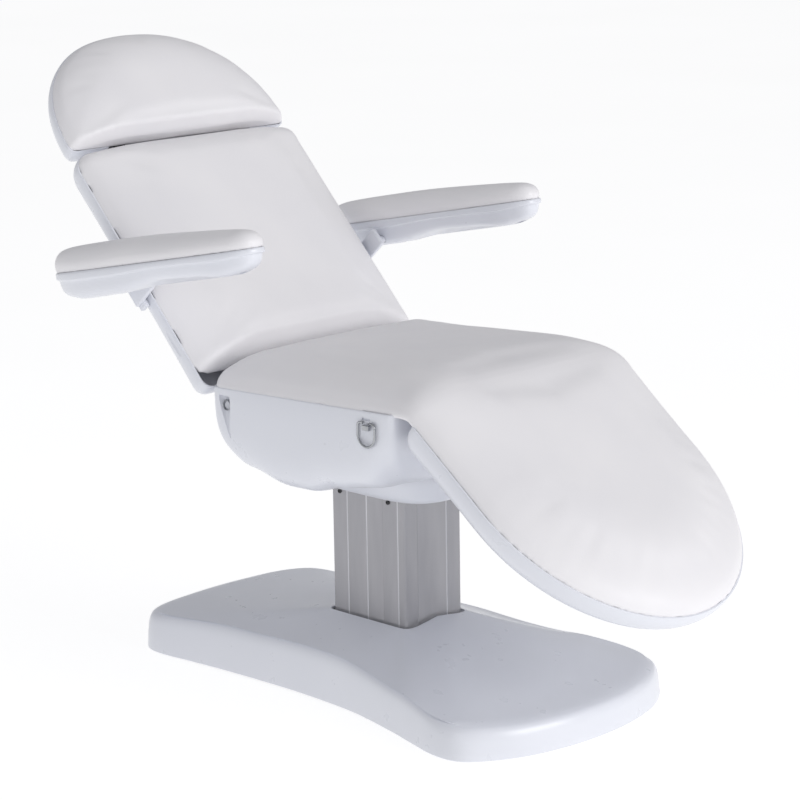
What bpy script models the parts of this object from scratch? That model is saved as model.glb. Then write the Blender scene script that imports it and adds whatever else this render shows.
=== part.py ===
"""Electric facial treatment bed: moulded base, telescopic aluminium column, tilting seat, reclining
back with tilting head rest, swinging leg rest, two swinging armrests and two handset rings.
Metres, +Z up, +X towards the feet, +Y to the left of a person lying on it."""

import math

import bmesh
import bpy
from mathutils import Vector

# ---------------------------------------------------------------- driving dimensions
CX = 0.0096            # column centre along X: puts the whole bed's box centre on X = 0
GAP = 0.0003           # clearance between touching pieces

BACK_ANGLE = math.radians(47.0)    # back above the horizontal, at rest
LEG_ANGLE = math.radians(38.0)     # leg rest below the horizontal, at rest
ARM_ANGLE = math.radians(11.0)     # armrest front end raised

HALF_WIDTH = 0.302                 # seat seam
BACK_HALF = 0.296
HEAD_HALF = 0.288
PAD = 0.065                        # cushion height above its seam, at the crown

BACK_AXIS = (-0.2295, 0.590)       # X from the column centre, Z
KNEE_AXIS = (0.312, 0.5824)
TILT_AXIS = (-0.070, 0.492)
HEAD_AXIS_U = 0.570                # along the back from the back axis
ARM_AXIS_U, ARM_AXIS_V = 0.239, 0.046
ARM_Y = 0.3745                     # armrest centre line
RING_X, RING_Z, RING_Y = 0.2335, 0.6070, 0.2985

SEAT_REAR, SEAT_FRONT = -0.202, 0.296
SEAM_Z, SEAM_SLOPE = 0.6180, 0.033  # seat seam height over the column, rise per metre
BACK_SEAM, LEG_SEAM = 0.021, 0.045  # seam above the hinge axis, square to the section

COL_HALF = (0.100, 0.077)          # outer column profile
COL_BOTTOM, COL_TOP = 0.030, 0.455
STROKE = 0.280
PLATE_Y, PLATE_T = 0.160, 0.008    # seat side plates: inner face, thickness
ARM_PLATE_Y = 0.1505               # back and leg side plates: inner face
PIN_R = 0.008
CROSS = (0.060, 0.577)             # seat cross tube
BACK_ROD = (-0.062, 0.537)         # actuator rods: Y and height
LEG_ROD = (0.062, 0.525)
LEVER_R, LEG_LEVER_R = 0.057, 0.059  # lever radius, hinge axis to rod pin
BACK_MID, LEG_MID = math.radians(36.0), math.radians(29.0)  # section angle at which the lever is square to its rod


# ---------------------------------------------------------------- helpers
def clear():
    for obj in list(bpy.data.objects):
        bpy.data.objects.remove(obj, do_unlink=True)


MATERIALS = {}


def material(name, colour, rough, metal=0.0):
    m = bpy.data.materials.new(name)
    m.use_nodes = True
    b = m.node_tree.nodes["Principled BSDF"]
    b.inputs["Base Color"].default_value = (*colour, 1.0)
    b.inputs["Roughness"].default_value = rough
    b.inputs["Metallic"].default_value = metal
    m.diffuse_color = (*colour, 1.0)
    MATERIALS[name] = m


def empty(name, place, turn=0.0, parent=None):
    """A joint's axis: an empty turned about Y, whose children are modelled in its own axes."""
    e = bpy.data.objects.new(name, None)
    bpy.context.scene.collection.objects.link(e)
    e.empty_display_size = 0.05
    e.location = place
    e.rotation_euler = (0.0, turn, 0.0)
    e.parent = parent
    return e


def finish(name, bm, parent, mat, sharp=38.0):
    bmesh.ops.recalc_face_normals(bm, faces=bm.faces)
    mesh = bpy.data.meshes.new(name)
    bm.to_mesh(mesh)
    bm.free()
    mesh.shade_smooth()
    mesh.set_sharp_from_angle(angle=math.radians(sharp))
    obj = bpy.data.objects.new(name, mesh)
    bpy.context.scene.collection.objects.link(obj)
    obj.parent = parent
    if mat:
        mesh.materials.append(MATERIALS[mat])
    return obj


def loft(name, rings, parent, mat, loop=False, dome=None):
    """Skins rings of equal count. loop joins the last ring to the first; else both ends are capped,
    the last with a fan to dome when that point is given."""
    bm = bmesh.new()
    rows = [[bm.verts.new(p) for p in ring] for ring in rings]
    n, m = len(rows[0]), len(rows)
    for i in range(m if loop else m - 1):
        a, b = rows[i], rows[(i + 1) % m]
        for j in range(n):
            k = (j + 1) % n
            bm.faces.new((a[j], a[k], b[k], b[j]))
    if not loop:
        bm.faces.new(rows[0][::-1])
        if dome is None:
            bm.faces.new(rows[-1])
        else:
            top = bm.verts.new(dome)
            for j in range(n):
                bm.faces.new((rows[-1][j], rows[-1][(j + 1) % n], top))
    return finish(name, bm, parent, mat)


def box(name, low, high, parent, mat, bevel=0.0):
    bm = bmesh.new()
    bmesh.ops.create_cube(bm, size=1.0)
    for v in bm.verts:
        v.co = Vector([low[i] + (v.co[i] + 0.5) * (high[i] - low[i]) for i in range(3)])
    if bevel:
        bmesh.ops.bevel(bm, geom=bm.edges[:], offset=bevel, segments=1, affect="EDGES")
    return finish(name, bm, parent, mat, 30.0)


def circle(n, r, phase=0.0):
    return [(r * math.cos(2 * math.pi * (i + phase) / n), r * math.sin(2 * math.pi * (i + phase) / n)) for i in range(n)]


def around(x, z, r, start, sweep=180.0, n=7):
    return [(x + r * math.cos(math.radians(start + sweep * i / (n - 1))), z + r * math.sin(math.radians(start + sweep * i / (n - 1)))) for i in range(n)]


def turned(name, axis, centre, profile, parent, mat, n=16, loop=False):
    """A turned piece: profile is (position along axis, radius); axis is "X", "Y" or "Z"."""
    rings = []
    for s, r in profile:
        ring = []
        for a, b in circle(n, r, 0.5):
            p = {"X": (s, a, b), "Y": (b, s, a), "Z": (a, b, s)}[axis]
            ring.append(tuple(centre[i] + p[i] for i in range(3)))
        rings.append(ring)
    return loft(name, rings, parent, mat, loop=loop)


def plate(name, outline, holes, y_mid, thick, parent, mat):
    """A flat laser-cut plate standing along X and Z, with round holes (x, z, radius)."""
    curve = bpy.data.curves.new(name, "CURVE")
    curve.dimensions = "2D"
    curve.fill_mode = "BOTH"
    curve.extrude = thick / 2
    loops = [outline] + [[(x + a, z + b) for a, b in circle(16, r, 0.5)] for x, z, r in holes]
    for pts in loops:
        spline = curve.splines.new("POLY")
        spline.points.add(len(pts) - 1)
        for p, (x, z) in zip(spline.points, pts):
            p.co = (x, z, 0.0, 1.0)
        spline.use_cyclic_u = True
    obj = bpy.data.objects.new(name, curve)
    bpy.context.scene.collection.objects.link(obj)
    obj.location = (0.0, y_mid, 0.0)
    obj.rotation_euler = (math.pi / 2, 0.0, 0.0)
    obj.parent = parent
    curve.materials.append(MATERIALS[mat])
    return obj


def cut(obj, cutter, solver="EXACT"):
    cutter.hide_render = True
    cutter.display_type = "WIRE"
    b = obj.modifiers.new("cut_" + cutter.name, "BOOLEAN")
    b.operation = "DIFFERENCE"
    b.solver = solver
    b.object = cutter


def join(obj, other):
    other.hide_render = True
    other.display_type = "WIRE"
    b = obj.modifiers.new("join_" + other.name, "BOOLEAN")
    b.operation = "UNION"
    b.solver = "EXACT"
    b.object = other


def plate_solid(name, outline, holes, y_mid, thick, parent):
    """The same plate as a plain mesh, to be joined to another piece."""
    flat = plate(name, outline, holes, y_mid, thick, None, "steel")
    mesh = bpy.data.meshes.new_from_object(flat.evaluated_get(bpy.context.evaluated_depsgraph_get()))
    place, turn = flat.location.copy(), flat.rotation_euler.copy()
    bpy.data.objects.remove(flat, do_unlink=True)
    bm = bmesh.new()
    bm.from_mesh(mesh)
    bmesh.ops.remove_doubles(bm, verts=bm.verts, dist=1e-6)
    bmesh.ops.recalc_face_normals(bm, faces=bm.faces)
    bm.to_mesh(mesh)
    bm.free()
    solid = bpy.data.objects.new(name, mesh)
    bpy.context.scene.collection.objects.link(solid)
    solid.parent, solid.location, solid.rotation_euler = parent, place, turn
    return solid


def rounded(corners, steps):
    """A closed outline, anticlockwise, with a radius at each corner (x, y, r)."""
    out = []
    n = len(corners)
    for i, (x, y, r) in enumerate(corners):
        p = Vector((x, y))
        a = (Vector(corners[i - 1][:2]) - p).normalized()
        b = (Vector(corners[(i + 1) % n][:2]) - p).normalized()
        half = a.angle(b) / 2
        t = r / math.tan(half)
        c = p + (a + b).normalized() * (r / math.sin(half))
        s, e = p + a * t - c, p + b * t - c
        turn = math.atan2(s.x * e.y - s.y * e.x, s.dot(e))
        for k in range(steps + 1):
            w = turn * k / steps
            out.append((c.x + s.x * math.cos(w) - s.y * math.sin(w), c.y + s.x * math.sin(w) + s.y * math.cos(w)))
    return out


def split_long(pts, longest):
    out = []
    for i, p in enumerate(pts):
        q = pts[(i + 1) % len(pts)]
        out.append(p)
        k = int(math.dist(p, q) / longest)
        out += [(p[0] + (q[0] - p[0]) * j / (k + 1), p[1] + (q[1] - p[1]) * j / (k + 1)) for j in range(1, k + 1)]
    return out


def inset(pts, d, spine):
    """Moves each point by d towards the nearest point of the spine, a stretch of the X axis."""
    out = []
    for x, y in pts:
        sx = min(max(x, spine[0]), spine[1])
        r = math.hypot(x - sx, y)
        k = max(0.04, 1.0 - d / r)
        out.append((sx + (x - sx) * k, y * k))
    return out


def power(v, e):
    return math.copysign(abs(v) ** e, v)


def smooth(t):
    t = min(max(t, 0.0), 1.0)
    return t * t * (3 - 2 * t)


def through(x, knots):
    """A smooth height read from (x, value) knots."""
    if x <= knots[0][0]:
        return knots[0][1]
    for (x0, a), (x1, b) in zip(knots, knots[1:]):
        if x <= x1:
            return a + (b - a) * smooth((x - x0) / (x1 - x0))
    return knots[-1][1]


def seam_z(x):
    return SEAM_Z + SEAM_SLOPE * x


# ---------------------------------------------------------------- outlines
def base_outline(step=0.072):
    """Hourglass plan: hollow long sides, full ends. Half of it is given, and mirrored."""
    half = [(0.5280, 0.0), (0.5215, 0.0900), (0.4980, 0.1820), (0.4570, 0.2540), (0.4200, 0.2840), (0.3660, 0.2860),
            (0.2960, 0.2680), (0.2170, 0.2460), (0.0900, 0.2190), (-0.0550, 0.2090), (-0.1700, 0.2100), (-0.2840, 0.2150),
            (-0.3800, 0.2230), (-0.4640, 0.2300), (-0.5120, 0.2150), (-0.5370, 0.1650), (-0.5470, 0.0850), (-0.5510, 0.0)]
    pts = half + [(x, -y) for x, y in half[-2:0:-1]]
    n, out = len(pts), []
    for i in range(n):  # Catmull-Rom through the stations
        p0, p1, p2, p3 = pts[i - 1], pts[i], pts[(i + 1) % n], pts[(i + 2) % n]
        k = max(1, round(math.dist(p1, p2) / step))
        for j in range(k):
            t = j / k
            out.append(tuple(0.5 * (2 * p1[a] + (p2[a] - p0[a]) * t + (2 * p0[a] - 5 * p1[a] + 4 * p2[a] - p3[a]) * t * t
                                    + (3 * p1[a] - p0[a] - 3 * p2[a] + p3[a]) * t ** 3) for a in (0, 1)))
    return out


def base_rim(x):
    return through(x, [(-0.55, 0.083), (-0.25, 0.096), (0.0, 0.101), (0.25, 0.084), (0.45, 0.066), (0.53, 0.063)])


def about(pts, centre, half, power_of):
    """The point of a super-ellipse in each outline point's direction."""
    reach = (max(abs(x - centre) for x, _ in pts), max(abs(y) for _, y in pts))
    out = []
    for x, y in pts:
        w = math.atan2(y / reach[1], (x - centre) / reach[0])
        out.append((centre + half[0] * power(math.cos(w), 2 / power_of), half[1] * power(math.sin(w), 2 / power_of)))
    return out


def seat_outline(x0, x1, half, longest=0.075):
    return split_long(rounded([(x0, -half, 0.034), (x1, -half, 0.012), (x1, half, 0.012), (x0, half, 0.034)], 3), longest)


def back_outline(u0, u1, half, longest=0.09):
    """Local x runs down the back, so the top end is at -u1."""
    return split_long(rounded([(-u1, -half, 0.045), (-u0, -half, 0.020), (-u0, half, 0.020), (-u1, half, 0.045)], 3), longest)


def dome_outline(near, straight, tip, half, e, n, side):
    """Flat end with small corners, then half a super-ellipse; side -1 points to -x, +1 to +x."""
    pts = [(near, -half + 0.012), (near + 0.004, -half + 0.003)]
    pts += [(near + (straight - near) * k / 3, -half) for k in range(1, 3)] if straight - near > 0.05 else []
    for k in range(n + 1):
        w = -math.pi / 2 + math.pi * k / n
        pts.append((straight + (tip - straight) * power(math.cos(w), 2 / e), half * power(math.sin(w), 2 / e)))
    pts += [(near + (straight - near) * k / 3, half) for k in (2, 1)] if straight - near > 0.05 else []
    pts += [(near + 0.004, half - 0.003), (near, half - 0.012)]
    pts += [(near, half * k) for k in (0.6, 0.2, -0.2, -0.6)]
    return pts if side > 0 else [(-x, y) for x, y in pts][::-1]


def lift(pts, z):
    return [(x, y, z(x, y) if callable(z) else z) for x, y in pts]


def tray(name, outline, spine, rim, depth, edge, wall, parent, mat):
    """A shallow moulded shell, open towards the cushion: rim height, depth, corner radius, wall."""
    rings = [lift(inset(outline, edge * 1.5, spine), rim - depth)]
    for f in (0.72, 0.38, 0.12):
        w = math.acos(1 - f)
        rings.append(lift(inset(outline, edge * f, spine), rim - depth + edge * (1 - math.sin(w))))
    rings.append(lift(outline, rim - depth + edge))
    rings.append(lift(outline, rim))
    rings.append(lift(inset(outline, wall, spine), rim))
    rings.append(lift(inset(outline, wall, spine), rim - depth + edge))
    rings.append(lift(inset(outline, wall + edge * 0.38, spine), rim - depth + wall + edge * (1 - math.sin(math.acos(0.62)))))
    rings.append(lift(inset(outline, wall + edge * 1.3, spine), rim - depth + wall))
    return loft(name, rings, parent, mat)


def pad_rings(outline, spine, seam, high, bulge=0.0025):
    rings = []
    for d, h in ((0.0015, 0.0), (-bulge, 0.012), (-bulge * 0.6, 0.034), (0.008, 0.050), (0.030, 0.060)):
        rings.append([(x, y, seam(x) + h * high / 0.065) for x, y in inset(outline, d, spine)])
    return rings


clear()
material("moulded_white", (0.78, 0.80, 0.86), 0.30)
material("white_vinyl", (0.82, 0.80, 0.82), 0.42)
material("aluminium", (0.62, 0.62, 0.65), 0.34, 0.9)
material("steel", (0.45, 0.46, 0.48), 0.40, 0.8)
material("chrome", (0.80, 0.81, 0.83), 0.08, 1.0)
material("black_rubber", (0.03, 0.03, 0.03), 0.65)
material("grey_plastic", (0.55, 0.56, 0.60), 0.45)
material("black_plastic", (0.05, 0.05, 0.055), 0.50)

# ---------------------------------------------------------------- axes
base = empty("axis_base", (CX, 0, 0))
middle = empty("axis_middle_stage", (0, 0, 0.020), parent=base)
carriage = empty("axis_lift", (0, 0, 0), parent=base)
seat = empty("axis_seat_tilt", (TILT_AXIS[0], 0, TILT_AXIS[1]), parent=carriage)
back = empty("axis_back", (BACK_AXIS[0] - TILT_AXIS[0], 0, BACK_AXIS[1] - TILT_AXIS[1]), BACK_ANGLE, seat)
head = empty("axis_head", (-HEAD_AXIS_U, 0, 0), 0, back)
leg = empty("axis_knee", (KNEE_AXIS[0] - TILT_AXIS[0], 0, KNEE_AXIS[1] - TILT_AXIS[1]), LEG_ANGLE, seat)
SEAT_SHIFT = (-TILT_AXIS[0], 0, -TILT_AXIS[1])
seat_axes = empty("seat_drawing_origin", SEAT_SHIFT, parent=seat)   # seat pieces drawn from the column foot


# ---------------------------------------------------------------- base
def make_base():
    out = base_outline()
    hole = about(out, 0.0, (COL_HALF[0] + 0.0090, COL_HALF[1] + 0.0090), 14)

    def between(a):
        return [(hx + (px - hx) * a, hy + (py - hy) * a) for (hx, hy), (px, py) in zip(hole, out)]

    def top(pts, a, drop=0.0):
        return [(x, y, base_rim(x) + (0.140 - base_rim(x)) * (1 - a) ** 1.35 - drop) for x, y in pts]

    def wall(k, z):
        return [(x * (1 - k / 0.52), y * (1 - k / 0.26), z if z < 0.02 else base_rim(x) - z) for x, y in out]

    rings = [wall(0.0, 0.004), [(x, y, base_rim(px) - 0.020) for (x, y, _), (px, _) in zip(wall(0.004, 0.0), out)],
             [(x, y, base_rim(px) - 0.007) for (x, y, _), (px, _) in zip(wall(0.009, 0.0), out)]]
    for a in (0.90, 0.70, 0.45, 0.20, 0.0):
        rings.append(top(between(a), a))
    for a in (0.0, 0.20, 0.45, 0.70, 0.88):
        rings.append(top(between(a), a, 0.0045))
    rings += [[(x, y, base_rim(px) - 0.016) for (x, y, _), (px, _) in zip(wall(0.0145, 0.0), out)], wall(0.0050, 0.004)]
    loft("base_cover", rings, base, "moulded_white", loop=True)

    box("base_plate", (-0.470, -0.150, 0.0120), (0.430, 0.150, 0.0200), base, "steel", 0.002)
    for name, x, y in (("foot_front_left", 0.395, 0.125), ("foot_front_right", 0.395, -0.125),
                       ("foot_rear_left", -0.440, 0.125), ("foot_rear_right", -0.440, -0.125)):
        turned(name, "Z", (x, y, 0), [(0.0, 0.020), (0.005, 0.022), (0.0117, 0.018)], base, "black_rubber", 16)
    box("control_box", (-0.400, -0.085, 0.0203), (-0.200, 0.085, 0.0703), base, "black_plastic", 0.003)
    bm_in = rounded([(-0.016, -0.012, 0.003), (0.016, -0.012, 0.003), (0.016, 0.012, 0.003), (-0.016, 0.012, 0.003)], 2)
    x0, z0 = -0.5375, 0.040
    rings = [[(x0 + 0.022, y, z0 + z) for y, z in bm_in], [(x0, y, z0 + z) for y, z in bm_in],
             [(x0, y * 0.72, z0 + z * 0.66) for y, z in bm_in], [(x0 + 0.014, y * 0.72, z0 + z * 0.66) for y, z in bm_in]]
    loft("mains_inlet", rings, base, "black_plastic")
    cutter = box("inlet_cutter", (-0.60, -0.0175, 0.0265), (-0.50, 0.0175, 0.0535), base, None)
    cut(bpy.data.objects["base_cover"], cutter)

    ring_out = rounded([(-0.1083, -0.0853, 0.010), (0.1083, -0.0853, 0.010), (0.1083, 0.0853, 0.010), (-0.1083, 0.0853, 0.010)], 3)
    ring_in = rounded([(-0.1012, -0.0782, 0.005), (0.1012, -0.0782, 0.005), (0.1012, 0.0782, 0.005), (-0.1012, 0.0782, 0.005)], 3)
    loft("column_gasket", [lift(ring_out, 0.112), lift(ring_out, 0.1335), lift(ring_in, 0.1335), lift(ring_in, 0.112)],
         base, "black_rubber", loop=True)


def tube(name, half, wall, z0, z1, parent, mat, r=0.004):
    o = rounded([(-half[0], -half[1], r), (half[0], -half[1], r), (half[0], half[1], r), (-half[0], half[1], r)], 2)
    a, b, q = half[0] - wall, half[1] - wall, max(r - wall, 0.0015)
    i = rounded([(-a, -b, q), (a, -b, q), (a, b, q), (-a, b, q)], 2)
    return loft(name, [lift(o, z0), lift(o, z1), lift(i, z1), lift(i, z0)], parent, mat, loop=True)


def make_column():
    tube("column_inner", (0.0840, 0.0610), 0.0035, 0.0203, 0.385, base, "aluminium")
    tube("column_middle", (0.0920, 0.0690), 0.0035, 0.005, 0.380, middle, "aluminium")
    tube("upper_glide_ring", (0.0962, 0.0732), 0.0039, 0.345, 0.375, middle, "black_plastic")
    tube("column_outer", COL_HALF, 0.0035, COL_BOTTOM, COL_TOP, carriage, "aluminium", 0.005)
    box("column_top_plate", (-0.100, -0.080, COL_TOP + GAP), (0.104, 0.080, COL_TOP + GAP + 0.008), carriage, "steel", 0.0015)
    # screw heads near the top of the near face
    for name, x in (("column_screw_rear", -0.0765), ("column_screw_front", 0.0555)):
        turned(name, "Y", (x, -COL_HALF[1] - GAP, 0.3815), [(0, 0.0042), (-0.0014, 0.0042), (-0.0028, 0.0030)], carriage, "black_plastic", 12)
    # lift actuator: fixed housing, rod hung from the top plate
    x = -0.030
    turned("lift_actuator_housing", "Z", (x, 0, 0),
           [(0.0203, 0.027), (0.350, 0.027), (0.360, 0.022), (0.360, 0.0135), (0.036, 0.0135)], base, "grey_plastic", 20)
    turned("lift_actuator_rod", "Z", (x, 0, 0), [(0.042, 0.0115), (COL_TOP, 0.0115)], carriage, "chrome", 16)
    # tilt actuator hangs under the top plate; its rod passes the plate
    x = 0.052
    turned("tilt_actuator_housing", "Z", (x, 0, 0),
           [(0.300, 0.018), (0.304, 0.021), (COL_TOP - GAP, 0.021), (COL_TOP - GAP, 0.0095), (0.330, 0.0095)], carriage, "grey_plastic", 18)
    hole = turned("tilt_rod_hole", "Z", (x, 0, 0), [(0.44, 0.0095), (0.48, 0.0095)], carriage, None, 18)
    cut(bpy.data.objects["column_top_plate"], hole)


def make_tilt_bracket():
    """Two lugs on the top plate carry the pin that the seat rocks on."""
    x, z = TILT_AXIS
    long = PLATE_Y + PLATE_T + 0.004
    pin = turned("tilt_bracket", "Y", (x, 0, z), [(-long, PIN_R), (long, PIN_R)], carriage, "steel", 16)
    for k in (-1, 1):
        y0, y1 = sorted((k * 0.0790, k * 0.0880))
        join(pin, box("tilt_lug_%d" % (k + 1), (x - 0.022, y0, COL_TOP + 0.008 + 2 * GAP), (x + 0.022, y1, z + 0.011), carriage, None, 0.001))


def make_bowl():
    """A dish round the top of the column, sunk in the seat shell's mouth."""
    n = 32

    def ring(hx, hy, z, e, shift=0.027):
        return [(shift + hx * power(math.cos(2 * math.pi * i / n), 2 / e), hy * power(math.sin(2 * math.pi * i / n), 2 / e), z) for i in range(n)]

    t = 0.0035
    hole = (COL_HALF[0] + 0.0050, COL_HALF[1] + 0.0050)
    rings = [ring(*hole, 0.3985, 40, 0.0), ring(0.1500, 0.1160, 0.3985, 3.6), ring(0.1580, 0.1270, 0.4060, 3.4), ring(0.1640, 0.142, 0.426, 3.2),
             ring(0.1690, 0.1530, 0.446, 3.2), ring(0.1700, 0.1575, 0.474, 3.2),
             ring(0.1700 - t, 0.1575 - t, 0.474, 3.2), ring(0.1690 - t, 0.1530 - t, 0.446, 3.2), ring(0.1640 - t, 0.142 - t, 0.428, 3.2),
             ring(0.1570 - t, 0.126 - t, 0.4100, 3.4), ring(0.1500 - t, 0.1160 - t, 0.3985 + t, 3.6), ring(*hole, 0.3985 + t, 40, 0.0)]
    loft("bowl_cover", rings, carriage, "moulded_white", loop=True)


# ---------------------------------------------------------------- seat
def seat_bottom(x):
    return through(x, [(-0.21, 0.466), (-0.12, 0.443), (-0.02, 0.4290), (0.03, 0.4310), (0.11, 0.4510), (0.20, 0.462), (0.30, 0.490)])


def make_seat():
    out = seat_outline(SEAT_REAR, SEAT_FRONT, HALF_WIDTH)
    mouth = about(out, 0.024, (0.193, 0.1750), 3.2)

    def rows(steps, wall):
        got = []
        for a in steps:
            ring = []
            for (mx, my), (px, py) in zip(mouth, out):
                e = 4.6 - 2.2 * smooth((px - 0.194) / 0.10) - 1.8 * smooth((-px - 0.106) / 0.10)
                k = 1 - wall / max(math.dist((mx, my), (px, py)), 0.02)
                aa = a * k
                x, y = mx + (px - mx) * aa, my + (py - my) * aa
                low = seat_bottom(x) + (wall if a < 1 else 0)
                d = (1 - a ** e) ** (1 / e)
                ring.append((x, y, (seam_z(px) - GAP) * (1 - d) + low * d if a < 1 else seam_z(px) - GAP))
            got.append(ring)
        return got

    steps = (0.0, 0.35, 0.62, 0.80, 0.91, 0.975, 1.0)
    rings = rows(steps, 0.0) + rows(steps[::-1], 0.0045)
    shell = loft("seat_shell", rings, seat_axes, "moulded_white", loop=True)
    cut(shell, box("seat_rear_mouth", (-0.26, -0.186, 0.497), (-0.150, 0.186, 0.70), seat_axes, None))
    cut(shell, box("seat_front_mouth", (0.245, -0.186, 0.505), (0.36, 0.186, 0.70), seat_axes, None))
    # pocket for the accessory socket and for the ring, on both sides
    for side, tag in ((-1, "right"), (1, "left")):
        y0, y1 = sorted((side * 0.288, side * 0.34))
        cut(shell, box("socket_pocket_" + tag, (-0.1695, y0, 0.560), (-0.1385, y1, 0.5985), seat_axes, None))

    pad_out = seat_outline(SEAT_REAR + 0.001, KNEE_AXIS[0] - 0.010, HALF_WIDTH)
    spine = (0.05, 0.10)
    rings = pad_rings(pad_out, (-0.02, 0.16), seam_z, PAD)
    slope = math.tan(math.radians(37.0))
    done = []
    for ring in rings:
        new = []
        for x, y, z in ring:
            lim = BACK_AXIS[0] + max(0.0235, (z - BACK_AXIS[1]) * slope + 0.001)
            new.append((max(x, lim), y, z))
        done.append(new)
    loft("seat_pad", done, seat_axes, "white_vinyl", dome=(spine[0], 0, seam_z(spine[0]) + PAD))

    # steel side plates carry the three cross pins
    bx, bz = BACK_AXIS
    kx, kz = KNEE_AXIS
    outline = [(bx - 0.020, bz - 0.006), (bx - 0.008, bz - 0.020), (-0.190, 0.5050), (-0.080, 0.4740), (-0.045, 0.4740), (0.150, 0.5050),
               (kx + 0.004, kz - 0.020), (kx + 0.018, kz - 0.008), (kx + 0.018, kz + 0.008), (kx + 0.006, kz + 0.018),
               (0.200, 0.600), (-0.150, 0.594), (bx + 0.004, bz + 0.014), (bx - 0.014, bz + 0.012)]
    holes = [(bx, bz, PIN_R + GAP), (kx, kz, PIN_R + GAP), (*TILT_AXIS, PIN_R + 2 * GAP), (*CROSS, 0.0153)]
    for tag, side in (("left", 1), ("right", -1)):
        plate("seat_plate_" + tag, outline, holes, side * (PLATE_Y + PLATE_T / 2), PLATE_T, seat_axes, "steel")
    long = PLATE_Y + PLATE_T + 0.004
    turned("back_hinge_pin", "Y", (bx, 0, bz), [(-long, PIN_R), (long, PIN_R)], seat_axes, "steel", 16)
    turned("knee_hinge_pin", "Y", (kx, 0, kz), [(-long, PIN_R), (long, PIN_R)], seat_axes, "steel", 16)
    turned("seat_cross_tube", "Y", (CROSS[0], 0, CROSS[1]), [(-long, 0.015), (long, 0.015)], seat_axes, "steel", 16)

    # actuators lie along the seat, one for the back and one for the leg rest
    for name, y, x0, x1, z in (("back_actuator_housing", BACK_ROD[0], -0.120, 0.030, BACK_ROD[1]), ("leg_actuator_housing", LEG_ROD[0], 0.195, 0.045, LEG_ROD[1])):
        d = 1 if x1 > x0 else -1
        turned(name, "X", (0, y, z), [(x1 + 0.045 * d, 0.019), (x0 + 0.006 * d, 0.019), (x0, 0.014), (x0, 0.0085), (x1 + 0.035 * d, 0.0085)],
               seat_axes, "grey_plastic", 16)

    for side, tag in ((-1, "right"), (1, "left")):
        # accessory socket: a short metal cup in its pocket
        n = 12
        hx, hz, z0 = 0.0110, 0.0110, 0.5795
        rr = [(hx * a / 1.0, hz * b / 1.0) for a, b in circle(n, 1.0, 0.5)]
        ys = [side * 0.2700, side * 0.2965, side * 0.2965, side * 0.2760]
        sc = [1.0, 1.0, 0.72, 0.72]
        loft("socket_" + tag, [[(-0.154 + a * s, y, z0 + b * s) for a, b in rr] for y, s in zip(ys, sc)], seat_axes, "chrome")
        # ring bracket: a small block with the ring's axle bore along X
        box("ring_bracket_" + tag, (RING_X - 0.0085, min(side * 0.3025, side * 0.3100), RING_Z - 0.0150),
            (RING_X + 0.0085, max(side * 0.3025, side * 0.3100), RING_Z - 0.0045), seat_axes, "chrome", 0.001)


def lever_pin(axis, mid, radius, now):
    """Where the lever's pin lies, in (X, Z) from the column foot, for a section at angle now."""
    lx, lz = radius * math.sin(mid), -radius * math.cos(mid)
    return (axis[0] + lx * math.cos(now) + lz * math.sin(now), axis[1] - lx * math.sin(now) + lz * math.cos(now))


def make_rods():
    """Actuator rods: each slides in its housing and ends in a clevis whose pin lies loose in a lever's eye."""
    for name, (y, z), x0, axis, mid, radius, now, d in (
            ("back_actuator_rod", BACK_ROD, 0.008, BACK_AXIS, BACK_MID, LEVER_R, BACK_ANGLE, -1),
            ("leg_actuator_rod", LEG_ROD, 0.055, KNEE_AXIS, LEG_MID, LEG_LEVER_R, LEG_ANGLE, 1)):
        tip = lever_pin(axis, mid, radius, now)[0]
        e = empty("slide_" + name, (0, 0, 0), parent=seat_axes)
        rod = turned(name, "X", (0, y, z), sorted([(x0, 0.0070), (tip - 0.021 * d, 0.0070)]), e, "chrome", 12)
        lo, hi = sorted((tip - 0.028 * d, tip - 0.020 * d))
        join(rod, box(name + "_block", (lo, y - 0.0088, z - 0.0080), (hi, y + 0.0088, z + 0.0080), e, None))
        for k in (-1, 1):
            a, b = sorted((y + k * 0.0048, y + k * 0.0088))
            lo, hi = sorted((tip - 0.024 * d, tip + 0.007 * d))
            join(rod, box(name + "_ear_%d" % (k + 1), (lo, a, z - 0.0065), (hi, b, z + 0.0065), e, None))
        join(rod, turned(name + "_pin", "Y", (tip, y, z), [(-0.0080, 0.0034), (0.0080, 0.0034)], e, None, 10))
    e = empty("slide_tilt_actuator_rod", (0, 0, 0), parent=carriage)
    turned("tilt_actuator_rod", "Z", (0.052, 0, 0), [(0.340, 0.0080), (0.5500, 0.0080), (0.5500, 0.0120), (0.5595, 0.0120)], e, "chrome", 12)


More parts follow.
